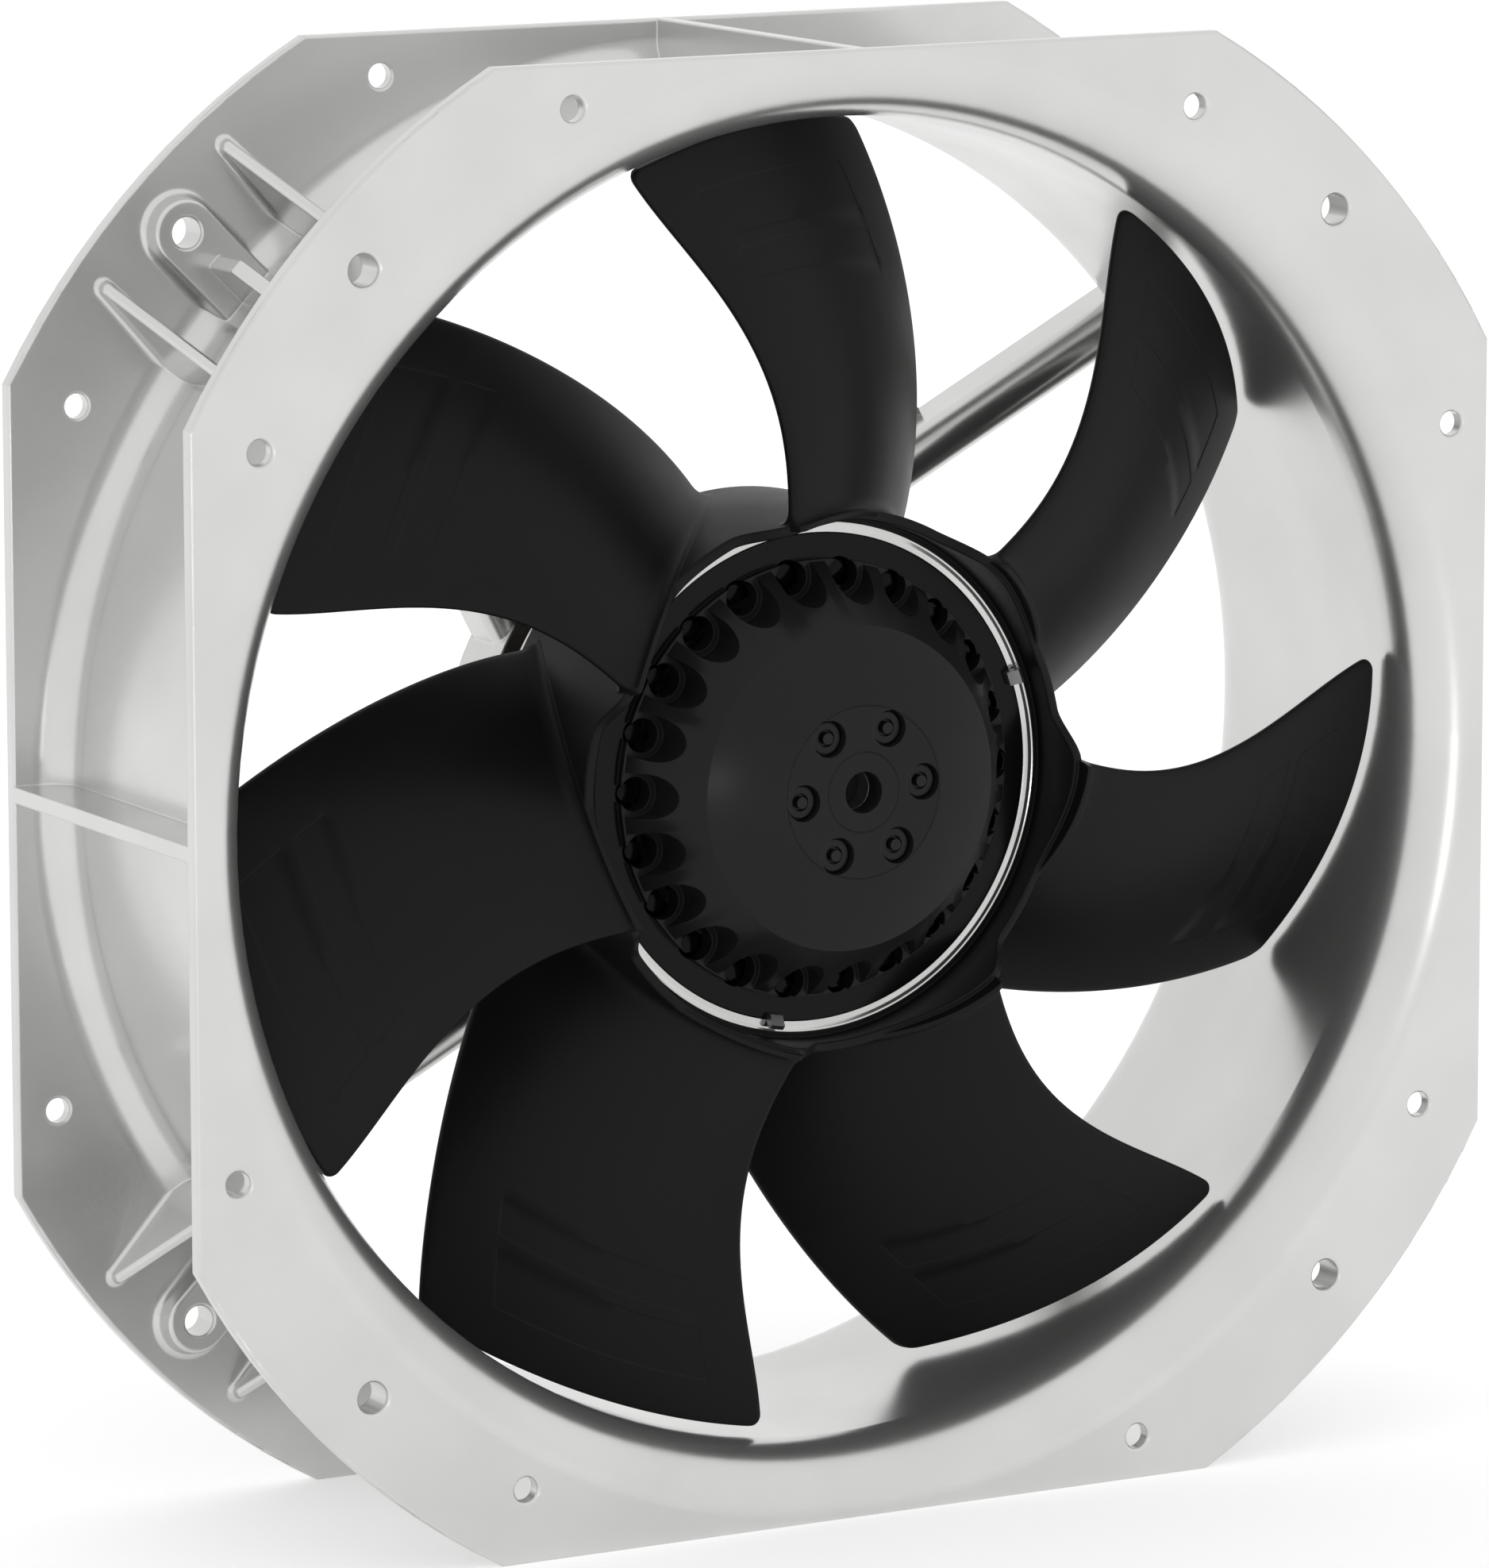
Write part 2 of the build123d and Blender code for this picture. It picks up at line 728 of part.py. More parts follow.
def sleeve_scallop():
    """What is cut from the sleeve's front edge between two leading edges."""
    half = sleeve_outer * sin(pi / blade_count)
    valley_start = half - scallop_steep
    valley_end = half - scallop_steep - scallop_flat
    steep = Spline((half, lobe_front), (half - 0.45 * scallop_steep, 10.0), (valley_start, sleeve_front))
    flat = Line((valley_start, sleeve_front), (valley_end, sleeve_front))
    middle = (valley_end - half) / 2
    gentle = Spline((valley_end, sleeve_front), (middle, 10.6), (-half, lobe_front))
    front = Polyline((-half, lobe_front), (-half, 0), (half, 0), (half, lobe_front))
    across = Plane(origin=(0, 0, 0), x_dir=(0, 0, -1), z_dir=(1, 0, 0))
    outline = make_face([steep, flat, gentle, front])
    middle_angle = polynomial(lead_angle, 1.0) + 180.0 / blade_count
    return swing(extrude(across * outline, amount=sleeve_outer + 2.0), middle_angle)


def impeller():
    """Sleeve and seven blades, one moulding."""
    sleeve = tube(sleeve_outer, sleeve_inner, lobe_front, sleeve_back)
    sleeve = sleeve - tube(sleeve_inner + sleeve_relief, 0, lobe_front, sleeve_relief_depth)
    sleeve = sleeve - around(sleeve_scallop(), blade_count)
    return joined([sleeve] + around(blade(), blade_count))


def main():
    """Build every piece and write one file for each."""
    pieces = {
        "housing": housing(),
        "motor_flange": motor_flange(),
        "motor_screws": motor_screws(),
        "cable_gland": cable_gland(),
        "bearing_cover": bearing_cover(),
        "stator_core": stator_core(),
        "stator_windings": stator_windings(),
        "front_slot_insulator": slot_insulator(core_front - insulator_thickness),
        "rear_slot_insulator": slot_insulator(core_back),
        "front_bearing_outer_ring": outer_ring(front_bearing),
        "rear_bearing_outer_ring": outer_ring(rear_bearing),
        "front_bearing_inner_ring": inner_ring(front_bearing),
        "rear_bearing_inner_ring": inner_ring(rear_bearing),
        "front_bearing_balls": bearing_balls(front_bearing),
        "rear_bearing_balls": bearing_balls(rear_bearing),
        "front_bearing_cage": bearing_cage(front_bearing),
        "rear_bearing_cage": bearing_cage(rear_bearing),
        "preload_washer": preload_washer(),
        "bearing_circlip": bearing_circlip(),
        "shaft": shaft(),
        "shaft_ring": shaft_ring(),
        "shaft_hub": shaft_hub(),
        "rotor_cap": rotor_cap(),
        "cap_rivets": cap_rivets(),
        "rotor_shell": rotor_shell(),
        "rotor_core": rotor_core(),
        "rotor_cage": rotor_cage(),
        "balance_clips": balance_clips(),
        "impeller": impeller(),
    }
    os.makedirs("parts", exist_ok=True)
    for name, piece in pieces.items():
        export_step(piece, f"parts/{name}.step")


main()
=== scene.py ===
"""Looks of the axial wall fan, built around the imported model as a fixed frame.

Lengths are in metres in the part's own frame: +X right, +Y along the air flow, +Z up,
with the origin on the fan axis in the front face of the front flange.
"""

import logging
import math
from dataclasses import dataclass
from enum import Enum
from typing import Sequence

import bmesh
import bpy
from mathutils import Matrix, Vector


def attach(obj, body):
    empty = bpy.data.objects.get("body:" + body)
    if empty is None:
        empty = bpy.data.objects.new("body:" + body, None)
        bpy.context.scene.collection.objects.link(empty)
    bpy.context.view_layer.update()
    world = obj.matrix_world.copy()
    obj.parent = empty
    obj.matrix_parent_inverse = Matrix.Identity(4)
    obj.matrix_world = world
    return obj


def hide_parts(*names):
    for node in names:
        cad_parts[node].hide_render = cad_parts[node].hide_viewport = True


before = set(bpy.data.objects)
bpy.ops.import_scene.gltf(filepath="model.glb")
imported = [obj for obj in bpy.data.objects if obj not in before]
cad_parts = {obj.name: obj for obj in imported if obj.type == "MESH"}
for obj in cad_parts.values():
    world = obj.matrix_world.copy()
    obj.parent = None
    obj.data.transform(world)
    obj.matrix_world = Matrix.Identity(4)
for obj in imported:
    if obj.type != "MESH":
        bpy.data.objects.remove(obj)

log = logging.getLogger("wall_fan")

MM = 0.001
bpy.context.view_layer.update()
ROTOR_BODY = "rotor"

SMOOTH_CREASE = 30.0
PIN_CREASE = 35.0
BLADE_CREASE = 32.0
BEVEL_CREASE = 5.0
BEVEL_SAMPLES = 6
EDGE_TURN = (0.995, 0.8)
CLOUD_RANGE = (0.3, 0.7)
GRAIN_DETAIL = 2.0
WAVE_SCALE = 0.22
WAVE_DETAIL = 1.0
MIX_COLOUR_INPUTS = (0, 6, 7)
MIX_COLOUR_OUTPUT = 2

Colour = tuple[float, float, float]
Points = list[Vector]
Faces = list[list[int]]


class Group(Enum):
    """The shader node groups that several finishes share."""

    EDGE_WEAR = "edge_wear"
    FINE_GRAIN = "fine_grain"
    MOTTLE = "mottle"


class Graph:
    """A small helper that adds and joins the nodes of one shader tree."""

    def __init__(self, tree: bpy.types.NodeTree) -> None:
        """Take over a node tree and empty it.

        Args:
            tree: The tree to fill.
        """
        self.tree = tree
        tree.nodes.clear()

    def add(self, kind: str, **settings: object) -> bpy.types.Node:
        """Add a node.

        Args:
            kind: The node's type without its ShaderNode prefix.
            settings: Properties to set on the node.

        Returns:
            The new node.
        """
        node = self.tree.nodes.new(kind if kind.startswith("Node") else f"ShaderNode{kind}")
        for name, value in settings.items():
            setattr(node, name, value)
        return node

    def link(self, source: bpy.types.NodeSocket, target: bpy.types.NodeSocket) -> None:
        """Join an output to an input.

        Args:
            source: The output.
            target: The input.
        """
        self.tree.links.new(source, target)

    def feed(self, node: bpy.types.Node, **inputs: object) -> bpy.types.Node:
        """Give a node's inputs a value or a link each.

        Args:
            node: The node to feed.
            inputs: Values or output sockets by the input's name, with _ for a space.

        Returns:
            The same node.
        """
        for name, value in inputs.items():
            socket = node.inputs[name.replace("_", " ")]
            if isinstance(value, bpy.types.NodeSocket):
                self.link(value, socket)
            else:
                socket.default_value = value
        return node

    def maths(self, operation: str, *values: object) -> bpy.types.NodeSocket:
        """Calculate with one Math node.

        Args:
            operation: The node's operation.
            values: Numbers or sockets, in order.

        Returns:
            The result's socket.
        """
        node = self.add("Math", operation=operation)
        for socket, value in zip(node.inputs, values):
            if isinstance(value, bpy.types.NodeSocket):
                self.link(value, socket)
            else:
                socket.default_value = value
        return node.outputs[0]

    def ramp(
        self, value: bpy.types.NodeSocket, low: float, high: float, start: float, end: float
    ) -> bpy.types.NodeSocket:
        """Map a value's range to another, clamped.

        Args:
            value: The socket to map.
            low: Lowest value read.
            high: Highest value read.
            start: Result at the lowest value.
            end: Result at the highest value.

        Returns:
            The mapped socket.
        """
        node = self.add("MapRange", clamp=True)
        self.feed(node, Value=value, From_Min=low, From_Max=high, To_Min=start, To_Max=end)
        return node.outputs["Result"]

    def blend(self, share: object, first: object, second: object) -> bpy.types.NodeSocket:
        """Mix two colours.

        Args:
            share: How much of the second colour shows.
            first: Colour or socket.
            second: Colour or socket.

        Returns:
            The mixed colour's socket.
        """
        node = self.add("Mix", data_type="RGBA")
        inputs = [node.inputs[place] for place in MIX_COLOUR_INPUTS]
        for socket, value in zip(inputs, (share, first, second)):
            if isinstance(value, bpy.types.NodeSocket):
                self.link(value, socket)
            else:
                socket.default_value = value if isinstance(value, float) else (*value, 1.0)
        return node.outputs[MIX_COLOUR_OUTPUT]

    def group(self, which: Group, **inputs: object) -> bpy.types.Node:
        """Place a shared node group.

        Args:
            which: The group to place.
            inputs: Values for its inputs, with _ for a space.

        Returns:
            The group node.
        """
        node = self.add("Group")
        node.node_tree = bpy.data.node_groups[which.value]
        return self.feed(node, **inputs)


@dataclass(frozen=True)
class GroupSocket:
    """One socket of a shared node group."""

    name: str
    kind: str = "NodeSocketFloat"
    default: float | None = None


class SharedGroups:
    """Builds the shader node groups that the finishes share."""

    def build(self) -> None:
        """Build every group once."""
        self._edge_wear()
        self._fine_grain()
        self._mottle()

    def _start(
        self, which: Group, inputs: Sequence[GroupSocket], outputs: Sequence[GroupSocket]
    ) -> tuple[Graph, dict[str, bpy.types.NodeSocket], bpy.types.Node]:
        """Make an empty group with its sockets.

        Args:
            which: The group to make.
            inputs: Its input sockets.
            outputs: Its output sockets.

        Returns:
            The graph, the input sockets by name, and the output node.
        """
        tree = bpy.data.node_groups.new(which.value, "ShaderNodeTree")
        for direction, sockets in (("INPUT", inputs), ("OUTPUT", outputs)):
            for socket in sockets:
                made = tree.interface.new_socket(socket.name, in_out=direction, socket_type=socket.kind)
                if socket.default is not None:
                    made.default_value = socket.default
        graph = Graph(tree)
        entry = graph.add("NodeGroupInput")
        sockets = {socket.name: socket for socket in entry.outputs}
        return graph, sockets, graph.add("NodeGroupOutput")

    def _edge_wear(self) -> None:
        """Mask of the outer edges, and a normal that rounds them."""
        graph, given, out = self._start(
            Group.EDGE_WEAR,
            (GroupSocket("Radius", default=0.4 * MM), GroupSocket("Amount", default=0.5)),
            (GroupSocket("Mask"), GroupSocket("Normal", "NodeSocketVector")),
        )
        soft = graph.add("Bevel", samples=BEVEL_SAMPLES)
        graph.link(given["Radius"], soft.inputs["Radius"])
        face = graph.add("NewGeometry")
        dot = graph.add("VectorMath", operation="DOT_PRODUCT")
        graph.link(soft.outputs["Normal"], dot.inputs[0])
        graph.link(face.outputs["Normal"], dot.inputs[1])
        turned = graph.ramp(dot.outputs["Value"], *EDGE_TURN, 0.0, 1.0)
        graph.link(graph.maths("MULTIPLY", turned, given["Amount"]), out.inputs["Mask"])
        graph.link(soft.outputs["Normal"], out.inputs["Normal"])

    def _fine_grain(self) -> None:
        """Fine relief: a small grain with a slower wave under it."""
        graph, given, out = self._start(
            Group.FINE_GRAIN,
            (GroupSocket("Grain Size", default=0.6 * MM), GroupSocket("Wave Share", default=0.3)),
            (GroupSocket("Height"),),
        )
        place = graph.add("TexCoord")
        scale = graph.maths("DIVIDE", 1.0, given["Grain Size"])
        fine = graph.feed(
            graph.add("TexNoise"), Vector=place.outputs["Object"], Scale=scale, Detail=GRAIN_DETAIL
        )
        slow = graph.feed(
            graph.add("TexNoise"),
            Vector=place.outputs["Object"],
            Scale=graph.maths("MULTIPLY", scale, WAVE_SCALE),
            Detail=WAVE_DETAIL,
        )
        wave = graph.maths("MULTIPLY", slow.outputs["Fac"], given["Wave Share"])
        graph.link(graph.maths("ADD", fine.outputs["Fac"], wave), out.inputs["Height"])

    def _mottle(self) -> None:
        """Slow clouds that vary colour and roughness over a surface."""
        graph, given, out = self._start(
            Group.MOTTLE,
            (GroupSocket("Size", default=20 * MM), GroupSocket("Detail", default=4.0)),
            (GroupSocket("Cloud"),),
        )
        place = graph.add("TexCoord")
        scale = graph.maths("DIVIDE", 1.0, given["Size"])
        cloud = graph.feed(
            graph.add("TexNoise"), Vector=place.outputs["Object"], Scale=scale, Detail=given["Detail"]
        )
        graph.link(graph.ramp(cloud.outputs["Fac"], *CLOUD_RANGE, 0.0, 1.0), out.inputs["Cloud"])


class Measure(Enum):
    """What a zone of a finish is measured by."""

    RADIUS = "radius"
    HEIGHT = "height"


@dataclass(frozen=True)
class Zone:
    """A part of a piece where its finish changes, by distance from the axis or by height."""

    measure: Measure
    start: float
    end: float
    colour: Colour
    roughness: float
    metallic: float | None = None

    def share(self, graph: Graph) -> bpy.types.NodeSocket:
        """How far a point is inside the zone.

        Args:
            graph: The material's graph.

        Returns:
            A socket that goes from 0 at the start to 1 at the end.
        """
        place = graph.add("TexCoord").outputs["Object"]
        parts = graph.add("SeparateXYZ")
        graph.link(place, parts.inputs[0])
        if self.measure is Measure.HEIGHT:
            return graph.ramp(parts.outputs["Z"], self.start, self.end, 0.0, 1.0)
        squares = [graph.maths("POWER", parts.outputs[axis], 2.0) for axis in ("X", "Z")]
        radius = graph.maths("SQRT", graph.maths("ADD", *squares))
        return graph.ramp(radius, self.start, self.end, 0.0, 1.0)


@dataclass(frozen=True)
class Finish:
    """A surface finish: colour, gloss, grain and worn edges."""

    name: str
    colour: Colour
    shade: Colour
    worn: Colour
    metallic: float = 0.0
    roughness: tuple[float, float] = (0.4, 0.5)
    specular: float = 0.5
    coat: float = 0.0
    coat_roughness: float = 0.2
    grain_size: float = 0.6 * MM
    grain_height: float = 0.01 * MM
    wave_share: float = 0.3
    cloud_size: float = 25 * MM
    edge_radius: float = 0.4 * MM
    edge_wear: float = 0.4
    zone: Zone | None = None

    def material(self) -> bpy.types.Material:
        """Build the finish, or return it if it's there.

        Returns:
            The material.
        """
        known = bpy.data.materials.get(self.name)
        if known:
            return known
        material = bpy.data.materials.new(self.name)
        material.use_nodes = True
        graph = Graph(material.node_tree)
        surface = graph.add("BsdfPrincipled")
        output = graph.add("OutputMaterial")
        graph.link(surface.outputs["BSDF"], output.inputs["Surface"])
        cloud = graph.group(Group.MOTTLE, Size=self.cloud_size).outputs["Cloud"]
        grain = graph.group(Group.FINE_GRAIN, Grain_Size=self.grain_size, Wave_Share=self.wave_share)
        wear = graph.group(Group.EDGE_WEAR, Radius=self.edge_radius, Amount=self.edge_wear)
        colour = graph.blend(cloud, self.colour, self.shade)
        colour = graph.blend(wear.outputs["Mask"], colour, self.worn)
        rough = graph.ramp(cloud, 0.0, 1.0, *self.roughness)
        metal: float | bpy.types.NodeSocket = self.metallic
        if self.zone:
            share = self.zone.share(graph)
            colour = graph.blend(share, colour, self.zone.colour)
            step = graph.maths("SUBTRACT", self.zone.roughness, rough)
            rough = graph.maths("MULTIPLY_ADD", share, step, rough)
            if self.zone.metallic is not None:
                metal = graph.ramp(share, 0.0, 1.0, self.metallic, self.zone.metallic)
        relief = graph.feed(
            graph.add("Bump"),
            Strength=1.0,
            Distance=self.grain_height,
            Height=grain.outputs["Height"],
            Normal=wear.outputs["Normal"],
        )
        graph.feed(surface, Base_Color=colour, Roughness=rough, Normal=relief.outputs["Normal"])
        graph.feed(
            surface,
            Metallic=metal,
            Specular_IOR_Level=self.specular,
            Coat_Weight=self.coat,
            Coat_Roughness=self.coat_roughness,
        )
        return material


HOUSING_PAINT = Finish(
    "silver_grey_housing_paint",
    colour=(0.69, 0.69, 0.68),
    shade=(0.65, 0.65, 0.64),
    worn=(0.84, 0.84, 0.83),
    metallic=0.85,
    roughness=(0.21, 0.26),
    grain_size=0.7 * MM,
    grain_height=0.004 * MM,
    wave_share=0.8,
    edge_radius=0.6 * MM,
    edge_wear=0.5,
)
BLADE_PLASTIC = Finish(
    "black_impeller_plastic",
    colour=(0.0055, 0.0055, 0.0055),
    shade=(0.0075, 0.0075, 0.0075),
    worn=(0.016, 0.016, 0.016),
    roughness=(0.4, 0.48),
    specular=0.14,
    grain_size=0.35 * MM,
    grain_height=0.01 * MM,
    edge_radius=0.5 * MM,
)
CAP_PAINT = Finish(
    "black_cap_paint",
    colour=(0.0145, 0.0145, 0.0145),
    shade=(0.016, 0.016, 0.016),
    worn=(0.032, 0.032, 0.032),
    roughness=(0.2, 0.25),
    specular=0.13,
    grain_size=0.3 * MM,
    grain_height=0.003 * MM,
    edge_radius=0.35 * MM,
    edge_wear=0.3,
    zone=Zone(Measure.RADIUS, 42.0 * MM, 42.2 * MM, (0.0035, 0.0035, 0.0035), 0.2),
)
RIVET_STEEL = Finish(
    "blackened_rivet_steel",
    colour=(0.012, 0.012, 0.012),
    shade=(0.016, 0.016, 0.016),
    worn=(0.05, 0.05, 0.05),
    metallic=0.2,
    roughness=(0.2, 0.28),
    specular=0.2,
    edge_radius=0.25 * MM,
)
SHELL_STEEL = Finish(
    "bright_turned_steel",
    colour=(0.62, 0.62, 0.61),
    shade=(0.52, 0.52, 0.51),
    worn=(0.8, 0.8, 0.79),
    metallic=1.0,
    roughness=(0.12, 0.2),
    grain_size=0.2 * MM,
    grain_height=0.002 * MM,
    edge_radius=0.15 * MM,
)
# Balance clip finish with painted light: both clips are the same steel. The clip above the axis is
# painted near black as painted shade, and the clip below it is painted as bright mirror metal.
CLIP_STEEL_PAINTED_LIGHT = Finish(
    "clip_steel",
    colour=(0.02, 0.02, 0.02),
    shade=(0.03, 0.03, 0.03),
    worn=(0.05, 0.05, 0.05),
    roughness=(0.2, 0.32),
    specular=0.25,
    edge_radius=0.2 * MM,
    # Height zone: a painted highlight that turns the clip below the axis into bright lit metal.
    zone=Zone(Measure.HEIGHT, 5.0 * MM, -5.0 * MM, (0.92, 0.92, 0.91), 0.3, metallic=1.0),
)
SPRING_STEEL = Finish(
    "tempered_spring_steel",
    colour=(0.2, 0.2, 0.21),
    shade=(0.15, 0.15, 0.16),
    worn=(0.5, 0.5, 0.5),
    metallic=1.0,
    roughness=(0.2, 0.32),
    grain_size=0.3 * MM,
    grain_height=0.004 * MM,
    edge_radius=0.15 * MM,
)
# Cage finish, partly painted shade: the cage is painted black with the cap. Its colour is set about ten
# times darker than the cap's paint so that the pins deep in the pocket holes read black.
PIN_BLACK_PAINT_AND_SHADE = Finish(
    "blackened_cage_aluminium",
    colour=(0.0015, 0.0015, 0.0015),
    shade=(0.0025, 0.0025, 0.0025),
    worn=(0.03, 0.03, 0.03),
    roughness=(0.12, 0.18),
    specular=0.1,
    grain_size=0.3 * MM,
    grain_height=0.004 * MM,
    edge_radius=0.25 * MM,
    edge_wear=0.6,
)
# Shaft finish with painted shade: the steel is painted near black so that the shaft end in the cap's
# centre bore reads as a dark hole.
SHAFT_STEEL_PAINTED_SHADE = Finish(
    "oil_blackened_shaft_steel",
    colour=(0.006, 0.006, 0.006),
    shade=(0.01, 0.01, 0.01),
    worn=(0.04, 0.04, 0.04),
    metallic=0.5,
    roughness=(0.25, 0.35),
    specular=0.2,
    grain_size=0.3 * MM,
    grain_height=0.003 * MM,
    edge_radius=0.2 * MM,
)
CAST_ALUMINIUM = Finish(
    "plain_cast_aluminium",
    colour=(0.6, 0.6, 0.59),
    shade=(0.5, 0.5, 0.49),
    worn=(0.75, 0.75, 0.74),
    metallic=1.0,
    roughness=(0.35, 0.5),
    grain_size=0.5 * MM,
    grain_height=0.02 * MM,
)
BEARING_STEEL = Finish(
    "polished_bearing_steel",
    colour=(0.7, 0.7, 0.71),
    shade=(0.62, 0.62, 0.63),
    worn=(0.85, 0.85, 0.85),
    metallic=1.0,
    roughness=(0.08, 0.16),
    edge_radius=0.2 * MM,
)
LAMINATION_STEEL = Finish(
    "stacked_sheet_steel",
    colour=(0.25, 0.25, 0.26),
    shade=(0.18, 0.18, 0.19),
    worn=(0.5, 0.5, 0.5),
    metallic=0.9,
    roughness=(0.35, 0.5),
    grain_size=0.5 * MM,
    grain_height=0.03 * MM,
)
WINDING_COPPER = Finish(
    "varnished_copper_wire",
    colour=(0.55, 0.2, 0.07),
    shade=(0.4, 0.12, 0.04),
    worn=(0.75, 0.35, 0.15),
    metallic=0.8,
    roughness=(0.25, 0.4),
    coat=0.4,
    grain_size=0.8 * MM,
    grain_height=0.1 * MM,
)
# Insulator and bearing cage finish with painted shade: painted near black so that the motor's inside,
# seen through the cap's holes, reads dark.
INSULATOR_PLASTIC_PAINTED_SHADE = Finish(
    "black_insulator_plastic",
    colour=(0.008, 0.008, 0.009),
    shade=(0.012, 0.012, 0.013),
    worn=(0.04, 0.04, 0.04),
    roughness=(0.45, 0.6),
)
GLAND_RUBBER = Finish(
    "black_gland_rubber",
    colour=(0.012, 0.012, 0.012),
    shade=(0.02, 0.02, 0.02),
    worn=(0.05, 0.05, 0.05),
    roughness=(0.6, 0.8),
    specular=0.3,
    grain_size=0.4 * MM,
    grain_height=0.02 * MM,
)
SCREW_STEEL = Finish(
    "zinc_plated_steel",
    colour=(0.5, 0.51, 0.52),
    shade=(0.42, 0.43, 0.42),
    worn=(0.8, 0.8, 0.8),
    metallic=1.0,
    roughness=(0.25, 0.4),
    edge_radius=0.25 * MM,
)

NODE_FINISHES: dict[Finish, tuple[str, ...]] = {
    HOUSING_PAINT: ("housing",),
    RIVET_STEEL: ("cap_rivets",),
    SHAFT_STEEL_PAINTED_SHADE: ("shaft",),
    CLIP_STEEL_PAINTED_LIGHT: ("balance_clips",),
    SPRING_STEEL: ("bearing_circlip", "shaft_ring", "preload_washer"),
    CAST_ALUMINIUM: ("motor_flange", "shaft_hub"),
    BEARING_STEEL: (
        "front_bearing_outer_ring",
        "rear_bearing_outer_ring",
        "front_bearing_inner_ring",
        "rear_bearing_inner_ring",
        "front_bearing_balls",
        "rear_bearing_balls",
    ),
    LAMINATION_STEEL: ("stator_core", "rotor_core"),
    WINDING_COPPER: ("stator_windings",),
    INSULATOR_PLASTIC_PAINTED_SHADE: (
        "front_slot_insulator",
        "rear_slot_insulator",
        "front_bearing_cage",
        "rear_bearing_cage",
    ),
    GLAND_RUBBER: ("cable_gland",),
    SCREW_STEEL: ("motor_screws", "bearing_cover"),
}


def dress_node(name: str, finish: Finish) -> None:
    """Give a CAD node its finish through its object's material slots.

    Args:
        name: The CAD node's name.
        finish: Its surface finish.
    """
    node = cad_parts[name]
    if not node.material_slots:
        node.data.materials.append(None)
    for place in node.material_slots:
        place.link = "OBJECT"
        place.material = finish.material()


def polar(radius: float, depth: float, angle: float) -> Vector:
    """A point about the fan axis.

    Args:
        radius: Distance from the axis.
        depth: Place along the axis.
        angle: Angle from +X towards +Z, in radians.

    Returns:
        The point.
    """
    return Vector((radius * math.cos(angle), depth, radius * math.sin(angle)))


def round_step(height: float, radius: float) -> float:
    """How far a round of a radius stands off a wall at a height above its foot.

    Args:
        height: Distance from the foot.
        radius: The round's radius.

    Returns:
        The distance from the wall, 0 past the round's end.
    """
    rest = max(radius - height, 0.0)
    return radius - math.sqrt(max(radius * radius - rest * rest, 0.0))


def place_mesh(
    name: str, points: Points, faces: Faces, finish: Finish, crease: float
) -> bpy.types.Object:
    """Make an object of a mesh, smooth but for its creases, on the rotor.

    Args:
        name: The object's name.
        points: Corner points.
        faces: Corner numbers of each face.
        finish: The surface finish.
        crease: Angle in degrees from which an edge stays sharp.

    Returns:
        The object.
    """
    mesh = bpy.data.meshes.new(name)
    mesh.from_pydata([tuple(point) for point in points], [], faces)
    mesh.validate()
    solid = bmesh.new()
    solid.from_mesh(mesh)
    bmesh.ops.recalc_face_normals(solid, faces=solid.faces)
    solid.to_mesh(mesh)
    solid.free()
    mesh.shade_smooth()
    mesh.set_sharp_from_angle(angle=math.radians(crease))
    mesh.materials.append(finish.material())
    piece = bpy.data.objects.new(name, mesh)
    bpy.context.scene.collection.objects.link(piece)
    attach(piece, ROTOR_BODY)
    log.info("%s: %d faces", name, len(faces))
    return piece


def lathe(outline: Sequence[tuple[float, float]], segments: int) -> tuple[Points, Faces]:
    """Turn a closed outline about the fan axis.

    Args:
        outline: Radius and depth of each corner, in order round the section.
        segments: Number of steps round the axis.

    Returns:
        The points and the faces.
    """
    points = []
    for step in range(segments):
        angle = math.tau * step / segments
        points.extend(polar(radius, depth, angle) for radius, depth in outline)
    return points, ring_faces(segments, len(outline))


def ring_faces(rings: int, size: int) -> Faces:
    """Faces that join closed loops of equal size, the last one back to the first.

    Args:
        rings: Number of loops.
        size: Points in each loop.

    Returns:
        The faces, loop by loop.
    """
    faces = []
    for ring in range(rings):
        after = (ring + 1) % rings
        for corner in range(size):
            side = (corner + 1) % size
            here = [ring * size + corner, ring * size + side]
            faces.append(here + [after * size + side, after * size + corner])
    return faces


def gather(points: Points, faces: Faces, more_points: Points, more_faces: Faces) -> None:
    """Add one closed form to a mesh that is being gathered.

    Args:
        points: Corner points so far.
        faces: Faces so far.
        more_points: The form's corner points.
        more_faces: The form's faces, counted from its own first point.
    """
    first = len(points)
    points.extend(more_points)
    faces.extend([[corner + first for corner in face] for face in more_faces])


@dataclass
class RotorShell:
    """Bright steel shell of the motor, with the turned bevel at its front edge."""

    inner: float = 46.9 * MM
    outer: float = 49.0 * MM
    front: float = 19.5 * MM
    back: float = 56.0 * MM
    ledge_radius: float = 47.95 * MM
    ledge_depth: float = 19.62 * MM
    crown_radius: float = 48.65 * MM
    cap_depth: float = 19.8 * MM
    chamfer: float = 0.1 * MM
    segments: int = 192

    def build(self) -> None:
        """Build the shell and put it in the place of its CAD node."""
        outline = (
            (self.inner, self.cap_depth + self.chamfer),
            (self.inner + self.chamfer, self.cap_depth),
            (self.ledge_radius, self.ledge_depth),
            (self.crown_radius, self.ledge_depth),
            (self.outer - self.chamfer / 2, self.front),
            (self.outer, self.front + self.chamfer),
            (self.outer, self.back),
            (self.inner, self.back),
        )
        points, faces = lathe(outline, self.segments)
        piece = place_mesh(
            "rotor_shell_turned", points, faces, SHELL_STEEL, BEVEL_CREASE
        )
        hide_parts("rotor_shell")


